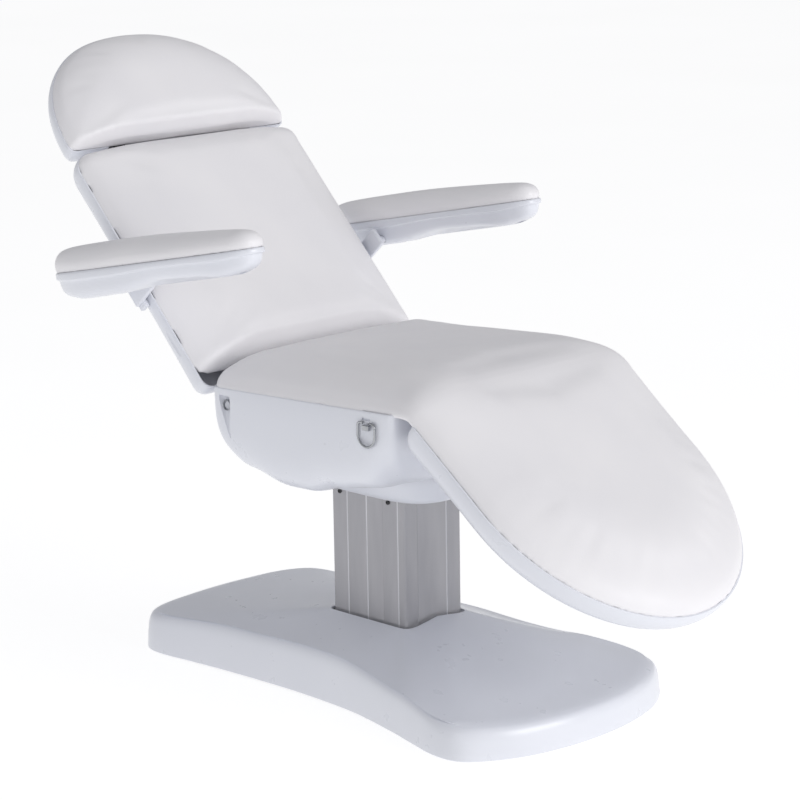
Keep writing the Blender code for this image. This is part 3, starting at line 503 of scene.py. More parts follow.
def pad_solid(name, outline, spine, seam, place, high, shape, shrink=0.0, clip=None, mat="white_vinyl", low=0.0062):
    """A stuffed closed form: a flat sewn underside and a top whose height is shape(points), from 0 at the seam to 1 at the crown."""
    s, d, r = reach_of(outline, spine)

    def ring_at(inset, h):
        k = np.maximum(1 - inset / r, 0.0)
        return [(s[i] + d[i, 0] * k[i], d[i, 1] * k[i], h) for i in range(len(outline))]

    # the underside follows the same bend as the top, ring by ring from the spine outwards
    rings = []
    for share in (0.0, 0.12, 0.25, 0.38, 0.50, 0.62, 0.74, 0.86):
        ring = []
        for i in range(len(outline)):
            k = share * max(1 - 0.012 / r[i], 0.0)
            x = s[i] + d[i, 0] * k
            if share == 0.0:
                x = min(max(round(x / 0.008) * 0.008, spine[0]), spine[1])
            ring.append((x, d[i, 1] * k, -low))
        rings.append(ring)
    rings += [ring_at(0.012 + 0 * r, -low), ring_at(0.0040 + shrink + 0 * r, -low), ring_at(0.0016 + shrink + 0 * r, -low + 0.0003)]
    steps = [0.0, 0.0002, 0.0006, 0.0013, 0.0023, 0.0037, 0.0055, 0.0078, 0.0106, 0.014, 0.018, 0.023, 0.029, 0.036, 0.044, 0.053, 0.063, 0.074, 0.086,
             0.099, 0.113, 0.128, 0.144, 0.161, 0.179, 0.198, 0.218, 0.239, 0.261, 0.284, 0.308, 0.333, 0.36, 0.39, 0.42, 0.46]
    for t in steps:
        k = np.maximum(1 - (t + shrink) / r, 0.0)
        flat = np.stack([s + d[:, 0] * k, d[:, 1] * k], 1)
        true = np.stack([s + d[:, 0] * np.maximum(1 - t / r, 0.0), d[:, 1] * np.maximum(1 - t / r, 0.0)], 1)
        h = shape(true) * (high - shrink)
        ring = [[flat[i, 0], flat[i, 1], h[i]] for i in range(len(outline))]
        for j, q in enumerate(ring):
            if k[j] <= 0.0:
                q[0] = min(max(round(q[0] / 0.008) * 0.008, spine[0]), spine[1])
                q[2] = float(shape(np.array([[q[0], 0.0]]))[0]) * (high - shrink)
        rings.append(ring)
        if (k <= 0.0).all():
            break
    out = []
    for ring in rings:
        row = []
        for x, y, h in ring:
            z = seam(x) + h
            if clip:
                x, z = clip(x, y, z)
            row.append(place(x, y, z))
        out.append(row)
    n = len(out[0])
    verts = [p for r_ in out for p in r_]
    faces = []
    for i in range(len(out) - 1):
        a, b = i * n, (i + 1) * n
        for j in range(n):
            k = (j + 1) % n
            faces.append((a + j, a + k, b + k, b + j))
    obj = finish_mesh(name, verts, faces, mat)
    bm = bmesh.new()
    bm.from_mesh(obj.data)
    bmesh.ops.remove_doubles(bm, verts=bm.verts, dist=2e-5)
    bmesh.ops.dissolve_degenerate(bm, edges=bm.edges, dist=1e-6)
    bmesh.ops.recalc_face_normals(bm, faces=bm.faces)
    bm.to_mesh(obj.data)
    bm.free()
    obj.data.shade_smooth()
    return obj


def settled(mesh, field, rounds):
    """Evens a field of moves over neighbouring points, so that only broad folds stay."""
    m = len(mesh.edges)
    ends = np.empty(m * 2, int)
    mesh.edges.foreach_get("vertices", ends)
    a, b = ends[0::2], ends[1::2]
    n = len(field)
    count = np.bincount(a, minlength=n) + np.bincount(b, minlength=n)
    for _ in range(rounds):
        total = np.stack([np.bincount(a, field[b, k], n) + np.bincount(b, field[a, k], n) for k in range(3)], 1)
        field = 0.4 * field + 0.6 * total / count[:, None]
    return field


def swell(obj, voxel, cap, held, smooths=4, pressure=4.0):
    """Stuffs a cushion: even mesh, cloth under inner pressure with its underside held, movement capped, one subdivision."""
    m = obj.modifiers.new("even", "REMESH")
    m.mode, m.voxel_size, m.use_smooth_shade = "VOXEL", voxel, True
    s = obj.modifiers.new("ease", "SMOOTH")
    s.factor, s.iterations = 0.5, smooths
    apply(obj)
    mesh = obj.data
    n = len(mesh.vertices)
    start = np.empty(n * 3)
    mesh.vertices.foreach_get("co", start)
    start = start.reshape(-1, 3)
    group = obj.vertex_groups.new(name="held")
    still = [i for i in range(n) if held(start[i])]
    group.add(still, 1.0, "REPLACE")
    c = obj.modifiers.new("stuffing", "CLOTH")
    c.settings.quality = 4
    c.settings.mass = 0.3
    c.settings.tension_stiffness = c.settings.compression_stiffness = 18.0
    c.settings.shear_stiffness = 6.0
    c.settings.bending_stiffness = 1.2
    c.settings.use_pressure = True
    c.settings.uniform_pressure_force = pressure
    c.settings.vertex_group_mass = "held"
    c.settings.effector_weights.gravity = 0.0
    c.collision_settings.use_collision = False
    c.collision_settings.use_self_collision = False
    c.point_cache.frame_start, c.point_cache.frame_end = 1, 20
    scene = bpy.context.scene
    for f in range(1, 21):
        scene.frame_set(f)
    dg = bpy.context.evaluated_depsgraph_get()
    ev = obj.evaluated_get(dg)
    now = np.empty(n * 3)
    ev.data.vertices.foreach_get("co", now)
    now = now.reshape(-1, 3)
    step = now - start
    far = np.linalg.norm(step, axis=1)
    k = np.where(far > 1e-9, cap * np.tanh(far / cap) / np.maximum(far, 1e-9), 0.0)
    obj.modifiers.clear()
    obj.vertex_groups.clear()
    mesh.vertices.foreach_set("co", (start + settled(mesh, step * k[:, None], 12)).ravel())
    mesh.update()
    scene.frame_set(1)
    print("swell", obj.name, n, "points, mean move %.2f mm, most %.2f mm" % (1000 * (far * k).mean(), 1000 * (far * k).max()))
    sub = obj.modifiers.new("fine", "SUBSURF")
    sub.levels = sub.render_levels = 1
    apply(obj)
    obj.data.shade_smooth()
    return obj


def press(obj, marks):
    """Sewn and folded detail: each mark is (polyline, radius, depth); points within the radius of the line move by
    depth along their normals.
    """
    mesh = obj.data
    n = len(mesh.vertices)
    co = np.empty(n * 3)
    mesh.vertices.foreach_get("co", co)
    co = co.reshape(-1, 3)
    no = np.empty(n * 3)
    mesh.vertices.foreach_get("normal", no)
    no = no.reshape(-1, 3)
    move = np.zeros(n)
    for line, radius, depth in marks:
        line = np.array(line, float)
        best = np.full(n, 1e9)
        along = np.zeros(n)
        lengths = np.linalg.norm(line[1:] - line[:-1], axis=1)
        total, run = lengths.sum(), 0.0
        for a, b, ln in zip(line[:-1], line[1:], lengths):
            d = b - a
            t = np.clip(((co - a) @ d) / (d @ d), 0, 1)
            dist = np.linalg.norm(co - (a + t[:, None] * d), axis=1)
            near = dist < best
            best[near] = dist[near]
            along[near] = (run + t[near] * ln) / total
            run += ln
        fade = np.clip(np.minimum(along, 1 - along) / 0.18, 0, 1)
        fade = fade * fade * (3 - 2 * fade)
        move += depth * np.exp(-(best / radius) ** 2) * fade
    mesh.vertices.foreach_set("co", (co + no * move[:, None]).ravel())
    mesh.update()


# ---------------------------------------------------------------- seat and leg cushion, one piece bent over the knee
KA = math.atan(SEAM_SLOPE)
K_R1 = (seam_z(KNEE_AXIS[0]) - KNEE_AXIS[1]) * math.cos(KA)
K_R2 = LEG_SEAM
K_L = 0.0455 * (KA + LEG)
K_FOOT = (KNEE_AXIS[0] - K_R1 * math.sin(KA), KNEE_AXIS[1] + K_R1 * math.cos(KA))


def bend_pt(s, y, h):
    if s <= 0:
        return (CX + K_FOOT[0] + s * math.cos(KA) - h * math.sin(KA), y, K_FOOT[1] + s * math.sin(KA) + h * math.cos(KA))
    if s < K_L:
        t = s / K_L
        w = -KA + (KA + LEG) * t
        r = K_R1 + (K_R2 - K_R1) * t + h
        return (CX + KNEE_AXIS[0] + r * math.sin(w), y, KNEE_AXIS[1] + r * math.cos(w))
    return leg_pt(s - K_L, y, LEG_SEAM + h)


def make_seat_and_leg_pad():
    s0 = -(K_FOOT[0] + 0.201) / math.cos(KA)
    tip = K_L + 0.5366
    straight = K_L + 0.209
    pts = [(s0, -SEAT_HALF + 0.034)]
    pts += [(s0 + 0.034 - 0.034 * math.cos(w), -SEAT_HALF + 0.034 - 0.034 * math.sin(w)) for w in np.linspace(0, math.pi / 2, 9)]
    for k in range(201):
        w = -math.pi / 2 + math.pi * k / 200
        pts.append((straight + (tip - straight) * power(math.cos(w), 1.0), LEG_HALF * power(math.sin(w), 1.0)))
    pts += [(s0 + 0.034 - 0.034 * math.cos(w), SEAT_HALF - 0.034 + 0.034 * math.sin(w)) for w in np.linspace(math.pi / 2, 0, 9)]
    pts = [(s, y if abs(y) < 0.28 else math.copysign(abs(y) + (SEAT_HALF - LEG_HALF) * (1 - smooth((s - s0) / (straight - s0))) * (abs(y) >= LEG_HALF - 1e-6), y)) for s, y in pts]
    outline = resample(pts, 0.008)
    spine = (s0 + 0.19, K_L + 0.31)
    slope = math.tan(math.radians(37.0))

    def place(s, y, h):
        x, y, z = bend_pt(s, y, h)
        if s < -0.25:
            lim = CX + BACK_AXIS[0] + max(0.0235, (z - BACK_AXIS[1]) * slope + 0.001)
            x = max(x, lim + 0.0005)
        return (x, y, z)

    shrink = 0.0016

    side_pts = outline[outline[:, 0] > s0 + 0.030]

    def shape(p):
        side = off_points(p, side_pts)
        wide = 0.115 + 0.075 * np.array([smooth((v + 0.10) / 0.30) for v in p[:, 0]])   # the leg end is softer than the seat
        crown = 1 + 0.05 * quarter(np.clip(side / 0.30, 0, 1))
        return quarter(side / wide) * quarter((p[:, 0] - s0) / 0.045) * quarter(off_points(p, outline) / 0.016) * crown

    pad = pad_solid("seat_and_leg_cushion", outline, spine, lambda s: 0.0, place, 0.0600, shape, shrink=shrink)
    def held(p):
        x, z = p[0] - CX, p[2]
        seat_h = (z - seam_z(x)) if x < KNEE_AXIS[0] else 1.0
        lx = (x - KNEE_AXIS[0]) * math.cos(LEG) - (z - KNEE_AXIS[1]) * math.sin(LEG)
        lz = (x - KNEE_AXIS[0]) * math.sin(LEG) + (z - KNEE_AXIS[1]) * math.cos(LEG)
        leg_h = (lz - LEG_SEAM) if lx > 0 else 1.0
        knee = math.hypot(x - KNEE_AXIS[0], z - KNEE_AXIS[1]) - K_R1 < 0.004 and abs(x - KNEE_AXIS[0]) < 0.05
        return seat_h < 0.004 or leg_h < 0.004 or knee

    swell(pad, 0.0060, 0.0060, held)
    # rear face stays clear of the back cushion
    keep_clear(pad, lambda p: seat_rear_limit(p))
    bend_pt(-0.030, 0, 0.0)
    bend_pt(K_L + 0.030, 0, 0.0)
    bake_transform(pad)
    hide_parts("seat_pad", "leg_pad")
    return pad


def seat_rear_limit(p):
    """Where the seat cushion's rear may not pass: a plane leaning 37 degrees back from the hinge."""
    x, y, z = p
    lim = CX + BACK_AXIS[0] + max(0.0232, (z - BACK_AXIS[1]) * math.tan(math.radians(37.0)) + 0.0008)
    return (max(x, lim), y, z) if x < 0 else p


def keep_clear(obj, rule):
    for v in obj.data.vertices:
        v.co = rule(tuple(v.co))
    obj.data.update()


def make_back_pad():
    outline = rect_outline(-0.5655, -0.0285, BACK_HALF, 0.045, 0.020)
    slope = math.tan(math.radians(36.5))
    edge = 0.5655

    def clip(x, y, z):
        low = -max(0.0235, z * slope + 0.001)
        h = max(0.0, z - BACK_SEAM)
        top = -edge + 0.070 * (1 - math.sqrt(max(0.0, 1 - (h / (PAD + 0.004)) ** 2)))
        return max(min(x, low), top), z

    shrink = 0.0016

    def shape(p):
        side = BACK_HALF - np.abs(p[:, 1])
        crown = 1 + 0.05 * quarter(np.clip(side / 0.28, 0, 1))
        return quarter(side / 0.175) * quarter((-0.0285 - p[:, 0]) / 0.034) * quarter((p[:, 0] + 0.5655) / 0.045) * quarter(off_points(p, outline) / 0.016) * crown

    pad = pad_solid("back_cushion", outline, (-0.34, -0.22), lambda x: BACK_SEAM, back_pt, 0.0600, shape, shrink=shrink, clip=clip)

    def to_local(p):
        dx, dz = p[0] - CX - BACK_AXIS[0], p[2] - BACK_AXIS[1]
        return dx * math.cos(BACK) - dz * math.sin(BACK), dx * math.sin(BACK) + dz * math.cos(BACK)

    swell(pad, 0.0060, 0.0060, lambda p: to_local(p)[1] < BACK_SEAM + 0.004)

    def rule(p):
        x, z = to_local(p)
        x = min(x, -max(0.0232, z * slope + 0.0008))
        return back_pt(x, p[1], z)

    keep_clear(pad, rule)
    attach(pad, "back")
    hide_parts("back_pad")
    return pad


def make_head_pad():
    outline = dome_outline(0.0045, 0.012, 0.272, HEAD_HALF, 2.15, -1)
    shrink = 0.0012

    dome = outline[outline[:, 0] < -0.014]

    def shape(p):
        side = off_points(p, dome)
        crown = 1 + 0.05 * quarter(np.clip(side / 0.20, 0, 1))
        return quarter(side / 0.135) * quarter((-0.0045 - p[:, 0]) / 0.012) * quarter(off_points(p, outline) / 0.012) * crown

    pad = pad_solid("head_cushion", outline, (-0.11, -0.07), lambda x: BACK_SEAM, head_pt, 0.0565, shape, shrink=shrink,
                    clip=lambda x, y, z: (min(x, -0.0045), z))

    def to_local(p):
        dx, dz = p[0] - CX - BACK_AXIS[0], p[2] - BACK_AXIS[1]
        return dx * math.cos(BACK) - dz * math.sin(BACK) + HEAD_U, dx * math.sin(BACK) + dz * math.cos(BACK)

    swell(pad, 0.0050, 0.0050, lambda p: to_local(p)[1] < BACK_SEAM + 0.004)

    def rule(p):
        x, z = to_local(p)
        return head_pt(min(x, -0.0042), p[1], z)

    keep_clear(pad, rule)
    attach(pad, "head")
    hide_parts("head_pad")
    return pad


# ---------------------------------------------------------------- armrests
ARM_L0, ARM_L1, ARM_W, ARM_RIM = -0.175, 0.408, 0.0550, 0.040


def arm_outline(step=0.005):
    mid, half = (ARM_L0 + ARM_L1) / 2, (ARM_L1 - ARM_L0) / 2
    pts = [(mid + half * power(math.cos(2 * math.pi * i / 400), 2 / 3.4), ARM_W * power(math.sin(2 * math.pi * i / 400), 2 / 2.7)) for i in range(400)]
    return resample(pts, step)


def arm_deep(x):
    return through(x, [(-0.175, 0.046), (-0.09, 0.056), (0.02, 0.054), (0.17, 0.0375), (0.25, 0.040), (0.33, 0.046), (0.41, 0.034)])


def make_arm(tag, side):
    place = arm_pt(side)
    out = arm_outline()
    spine = (ARM_L0 + 0.06, ARM_L1 - 0.06)

    def row(d, f, lift=0.0):
        p = drawn_in(out, d, spine)
        return [place(x, y, ARM_RIM - f * arm_deep(x) + lift) for x, y in p]

    # moulded tray: rounded keel, hollow flank, and a rolled lip that stands proud under the cushion
    outer = [(0.036, 1.0), (0.0300, 0.990), (0.0240, 0.965), (0.0185, 0.915), (0.0140, 0.840), (0.0110, 0.750), (0.0090, 0.640), (0.0076, 0.520),
             (0.0066, 0.420), (0.0060, 0.350), (0.0050, 0.322), (0.0026, 0.306), (0.0008, 0.285), (0.0, 0.250), (0.0, 0.180), (0.0, 0.090), (0.0006, 0.030), (0.0018, 0.004)]
    inner = [(0.0036, 0.004), (0.0045, 0.06), (0.0095, 0.38), (0.0140, 0.70), (0.0240, 0.88), (0.036, 0.92)]
    rings = [row(*r) for r in outer + inner]
    shell = loft("armrest_shell_" + tag, rings, "moulded_white", sharp=50)
    hole = turned("hole", "Y", (0, 0, 0), sorted([(-side * 0.080, 0.0080), (-side * 0.030, 0.0080)]), place, "moulded_white")
    cut(shell, hole)
    sharpen(shell, 40)
    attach(shell, "arm_" + tag)
    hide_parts("arm_shell_" + tag)

    edge = [(0.0060, -0.0022), (0.0030, -0.0018), (0.0014, 0.0010), (0.0002, 0.0080), (-0.0003, 0.0130), (0.0004, 0.0190), (0.0022, 0.0250), (0.0052, 0.0310),
            (0.0095, 0.0360), (0.0150, 0.0400), (0.0210, 0.0428), (0.0280, 0.0446)]
    shrink = 0.0012
    rings = []
    for d, h in edge:
        p = drawn_in(out, d + shrink, spine)
        rings.append([place(x, y, ARM_RIM + (h - (shrink if h > 0.02 else 0)) * (0.78 + 0.22 * smooth((ARM_L1 - x) / 0.35))) for x, y in p])
    last = drawn_in(out, edge[-1][0] + shrink, spine)
    for k in range(1, 6):
        q = k / 6
        p = toward(last, spine, 1 - q)
        rings.append([place(x, y, ARM_RIM + (0.0446 + 0.0024 * (1 - (1 - q) ** 2) - shrink) * (0.78 + 0.22 * smooth((ARM_L1 - x) / 0.35))) for x, y in p])
    n = len(rings[0])
    verts = [p for r in rings for p in r]
    faces = [(i * n + j, i * n + (j + 1) % n, (i + 1) * n + (j + 1) % n, (i + 1) * n + j) for i in range(len(rings) - 1) for j in range(n)]
    faces += [tuple(range(n))[::-1], tuple(range((len(rings) - 1) * n, len(rings) * n))]
    pad = finish_mesh("armrest_cushion_" + tag, verts, faces, "white_vinyl")
    px, _, pz = place(0, 0, 0)

    def height(p):
        return -(p[0] - px) * math.sin(ARM) + (p[2] - pz) * math.cos(ARM)

    swell(pad, 0.0040, 0.0040, lambda p: height(p) < ARM_RIM + 0.003)

    def rule(p):
        h = height(p)
        if h < ARM_RIM - 0.0026:
            d = ARM_RIM - 0.0026 - h
            return (p[0] - d * math.sin(ARM), p[1], p[2] + d * math.cos(ARM))
        return p

    keep_clear(pad, rule)
    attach(pad, "arm_" + tag)
    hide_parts("arm_pad_" + tag)


# ---------------------------------------------------------------- moulded shells
def tray(name, outline, spine, rim, depth, edge, wall, place, lip=0.0009):
    """A shallow moulded shell open towards the cushion, with a fine rolled lip at its rim."""
    rings = []

    def add(d, z):
        rings.append([place(x, y, z) for x, y in drawn_in(outline, d, spine)])

    add(edge * 2.6, rim - depth)
    add(edge * 1.5, rim - depth)
    add(edge * 1.12, rim - depth + 0.0002)
    for k in range(1, 13):
        w = math.pi / 2 * k / 12
        add(edge * (1 - math.sin(w)), rim - depth + edge * (1 - math.cos(w)))
    add(0.0, rim - 0.0022)
    add(lip * 0.35, rim - 0.0008)
    add(lip * 1.4, rim)
    add(wall, rim)
    add(wall, rim - depth + edge)
    for k in range(1, 7):
        w = math.pi / 2 * k / 6
        add(wall + edge * (1 - math.cos(w)) * 0.98, rim - depth + wall + edge - (edge) * math.sin(w))
    add(edge * 2.6 + wall, rim - depth + wall)
    return loft(name, rings, "moulded_white", sharp=50)


def box_cutter(low, high, place):
    return block("cutter", low, high, place, bevel=0.004, segments=3)


def make_back_shell():
    out = rect_outline(-(HEAD_U - 0.006), 0.002, BACK_HALF, 0.045, 0.020)
    shell = tray("back_shell_moulding", out, (-0.34, -0.22), BACK_SEAM - 0.0003, 0.055, 0.048, 0.004, back_pt)
    cut(shell, box_cutter((-0.030, -0.186, -0.0270), (0.040, 0.186, 0.060), back_pt))
    cut(shell, box_cutter((-0.066, -0.074, -0.080), (0.040, -0.050, 0.060), back_pt))
    cut(shell, box_cutter((-HEAD_U - 0.03, -0.186, -0.0285), (-HEAD_U + 0.030, 0.186, 0.060), back_pt))
    # shallow lens-shaped dimples along both flanks
    for u in (0.115, 0.325):
        for side in (-1, 1):
            rings = []
            for k in range(13):
                t = -1 + 2 * k / 12
                r = math.sqrt(max(0.0, 1 - t * t))
                hw = 0.0075 * r + 0.0002
                dp = 0.0036 * r + 0.0002
                c = -u + 0.034 * t
                rings.append([back_pt(c, side * (BACK_HALF + 0.0008 - dp * math.cos(w)), 0.006 + hw * math.sin(w)) for w in [2 * math.pi * i / 20 for i in range(20)]])
            cut(shell, loft("dimple", rings, "moulded_white"))
    sharpen(shell, 40)
    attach(shell, "back")
    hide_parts("back_shell")


def make_head_shell():
    out = dome_outline(0.003, 0.012, 0.272, HEAD_HALF, 2.15, -1)
    shell = tray("head_shell_moulding", out, (-0.11, -0.07), BACK_SEAM - 0.0003, 0.048, 0.042, 0.004, head_pt)
    cut(shell, box_cutter((-0.045, -0.190, -0.0170), (0.020, 0.190, 0.060), head_pt))
    sharpen(shell, 40)
    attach(shell, "head")
    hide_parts("head_shell")


def make_leg_shell():
    out = dome_outline(0.000, 0.209, 0.5366, LEG_HALF, 2.0, 1)
    shell = tray("leg_shell_moulding", out, (0.20, 0.30), LEG_SEAM - 0.0003, 0.062, 0.050, 0.004, leg_pt)
    cut(shell, box_cutter((-0.020, -0.186, -0.0138), (0.050, 0.186, 0.080), leg_pt))
    cut(shell, box_cutter((-0.020, 0.050, -0.080), (0.078, 0.074, 0.080), leg_pt))
    sharpen(shell, 40)
    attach(shell, "leg")
    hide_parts("leg_shell")
    # pull grip: one rounded bar hung below the shell
    grip = resample(rounded([(0.452, -0.0300, 0.005), (0.470, -0.0300, 0.005), (0.470, 0.0300, 0.005), (0.452, 0.0300, 0.005)], 8), 0.002)
    rings = [[leg_pt(x, y, z) for x, y in drawn_in(grip, d, (0.4605, 0.4615))] for d, z in
             ((0.0012, -0.0174), (0.0, -0.0182), (0.0, -0.0235), (0.0003, -0.0258), (0.0012, -0.0276), (0.0026, -0.0287), (0.0045, -0.0290))]
    g = loft("leg_rest_grip", rings, "grey_plastic", sharp=50)
    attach(g, "leg")
    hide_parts("leg_grip")


def seat_bottom(x):
    return through(x, [(-0.21, 0.474), (-0.12, 0.448), (-0.02, 0.4300), (0.03, 0.4310), (0.11, 0.4510), (0.20, 0.462), (0.30, 0.490)])


def seat_square(px):
    """How square the shell's section is: full at the flanks and the rear, softer at the front."""
    front = smooth((px - 0.194) / 0.10)
    rear = smooth((-px - 0.106) / 0.10)
    return 4.6 - 2.2 * front - 1.0 * rear


def about(p, centre, half, e):
    reach = (np.abs(p[:, 0] - centre).max(), np.abs(p[:, 1]).max())
    out = []
    for x, y in p:
        w = math.atan2(y / reach[1], (x - centre) / reach[0])
        out.append((centre + half[0] * power(math.cos(w), 2 / e), half[1] * power(math.sin(w), 2 / e)))
    return np.array(out)


def make_seat_shell():
    out = rect_outline(-0.202, 0.296, SEAT_HALF, 0.034, 0.012, 0.007)
    mouth = about(out, 0.024, (0.193, 0.1750), 3.2)

    def row(a, wall=0.0, drop=0.0, d_in=0.0):
        ring = []
        for (mx, my), (px, py) in zip(mouth, out):
            e = seat_square(px)
            k = 1 - (wall + d_in) / max(math.dist((mx, my), (px, py)), 0.02)
            aa = a * k
            x, y = mx + (px - mx) * aa, my + (py - my) * aa
            low = seat_bottom(x) + (wall if a < 1 else 0)
            d = (1 - min(a, 1) ** e) ** (1 / e) if a < 1 else 0.0
            top = seam_z(px) - 0.0003 - drop
            ring.append(seat_pt(x, y, top * (1 - d) + low * d))
        return ring

    steps = [0.0, 0.012, 0.15, 0.30, 0.44, 0.56, 0.66, 0.74, 0.80, 0.85, 0.89, 0.92, 0.942, 0.960, 0.973, 0.983, 0.990, 0.995, 0.998, 0.9995]
    rings = [row(a) for a in steps]
    rings.append(row(1.0, drop=0.0022))
    rings.append(row(1.0, drop=0.0008, d_in=0.0004))
    rings.append(row(1.0, d_in=0.0013))
    rings.append(row(1.0, wall=0.0045))
    rings += [row(a, 0.0045) for a in (0.975, 0.91, 0.80, 0.62, 0.35, 0.0)]
    shell = loft("seat_shell_moulding", rings, "moulded_white", loop=True, sharp=50)
    cut(shell, box_cutter((-0.26, -0.186, 0.497), (-0.150, 0.186, 0.70), seat_pt))
    cut(shell, box_cutter((0.245, -0.186, 0.505), (0.36, 0.186, 0.70), seat_pt))
    for side in (-1, 1):
        # socket recess, wide at the top and running out to a point down the flank; the wall is thickened behind it
        rings = []
        for z in (0.6045, 0.590, 0.575, 0.560, 0.548, 0.536):
            y = bay_depth(out, mouth, min(z, 0.6085), -0.154)
            rings.append([seat_pt(-0.151 + 0.0190 * power(math.cos(w), 0.3), side * (y - 0.0095 + 0.0062 * power(math.sin(w), 0.3)), z) for w in [2 * math.pi * (i + 0.5) / 24 for i in range(24)]])
        join(shell, loft("liner", rings, "moulded_white"))
        rings = []
        for z, hw, deep in ((0.5992, 0.0120, 0.0118), (0.5984, 0.0148, 0.0122), (0.5900, 0.0152, 0.0122), (0.5780, 0.0136, 0.0115), (0.5680, 0.0118, 0.0092), (0.5560, 0.0094, 0.0066),
                            (0.5430, 0.0068, 0.0042), (0.5300, 0.0042, 0.0022), (0.5180, 0.0018, 0.0008)):
            y_in = bay_depth(out, mouth, z, -0.154) - deep
            ring = []
            for w in [2 * math.pi * (i + 0.5) / 28 for i in range(28)]:
                x = -0.154 + (0.598 - z) * 0.14 + hw * power(math.cos(w), 0.55)
                y = 0.5 * (y_in + 0.330) - 0.5 * (0.330 - y_in) * power(math.sin(w), 0.45)
                ring.append(seat_pt(x, side * y, z))
            rings.append(ring)
        cut(shell, loft("recess", rings, "moulded_white"))
        # slot over the ring's axle, and the shallow bay that the ring hangs in
        cut(shell, block("slot", (0.2335 - 0.0150, min(side * 0.2985, side * 0.32), 0.6090), (0.2335 + 0.0065, max(side * 0.2985, side * 0.32), 0.6135), seat_pt, bevel=0.0008))
        rings = []
        for z, x0, x1, deep in ((0.6060, 0.2215, 0.2455, 0.0030), (0.6000, 0.2190, 0.2480, 0.0030), (0.5900, 0.2150, 0.2530, 0.0028), (0.5800, 0.2120, 0.2590, 0.0024),
                                (0.5720, 0.2110, 0.2650, 0.0018), (0.5640, 0.2120, 0.2720, 0.0010), (0.5560, 0.2160, 0.2780, 0.0002)):
            y_in = bay_depth(out, mouth, z) - deep
            c, h = (x0 + x1) / 2, (x1 - x0) / 2
            rings.append([seat_pt(c + h * power(math.cos(w), 0.5), side * (0.5 * (y_in + 0.330) - 0.5 * (0.330 - y_in) * power(math.sin(w), 0.4)), z) for w in [2 * math.pi * i / 28 for i in range(28)]])
        cut(shell, loft("bay", rings, "moulded_white"))
    sharpen(shell, 40)
    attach(shell, "seat")
    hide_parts("seat_shell")


def bay_depth(out, mouth, z, at=0.236):
    """Half width of the seat shell's flank at height z."""
    i = int(np.argmin(np.hypot(out[:, 0] - at, out[:, 1] - SEAT_HALF)))
    (mx, my), (px, py) = mouth[i], out[i]
    best = (9.0, py)
    for a in np.linspace(0.6, 1.0, 400):
        e = seat_square(px)
        x, y = mx + (px - mx) * a, my + (py - my) * a
        d = (1 - a ** e) ** (1 / e)
        zz = (seam_z(px) - 0.0003) * (1 - d) + seat_bottom(x) * d
        if abs(zz - z) < best[0]:
            best = (abs(zz - z), y)
    return best[1]


def make_bowl():
    n = 120

    def ring(hx, hy, z, e, shift=0.027):
        return [(CX + shift + hx * power(math.cos(2 * math.pi * (i + 0.5) / n), 2 / e), hy * power(math.sin(2 * math.pi * (i + 0.5) / n), 2 / e), z) for i in range(n)]

    t = 0.0035
    hole = (COL_X + 0.0050, COL_Y + 0.0050)
    outer = [(0.1478, 0.1136, 0.3985, 3.6), (0.1496, 0.1154, 0.3990, 3.6), (0.1508, 0.1171, 0.4000, 3.6), (0.1540, 0.1216, 0.4025, 3.5), (0.1580, 0.1272, 0.4062, 3.4),
             (0.1612, 0.1344, 0.4145, 3.3), (0.1640, 0.1420, 0.4260, 3.2), (0.1668, 0.1484, 0.4365, 3.2), (0.1690, 0.1530, 0.4460, 3.2), (0.1699, 0.1560, 0.4600, 3.2), (0.1700, 0.1575, 0.474, 3.2)]
    rings = [ring(*hole, 0.3985, 30, 0.0)] + [ring(*o) for o in outer]
    rings += [ring(0.1700 - t, 0.1575 - t, 0.474, 3.2), ring(0.1690 - t, 0.1530 - t, 0.446, 3.2), ring(0.1640 - t, 0.142 - t, 0.428, 3.2),
              ring(0.1570 - t, 0.126 - t, 0.4100, 3.4), ring(0.1500 - t, 0.1160 - t, 0.3985 + t, 3.6), ring(*hole, 0.3985 + t, 30, 0.0)]
    bowl = loft("bowl_moulding", rings, "moulded_white", loop=True, sharp=50)
    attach(bowl, "carriage")
    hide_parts("bowl_cover")


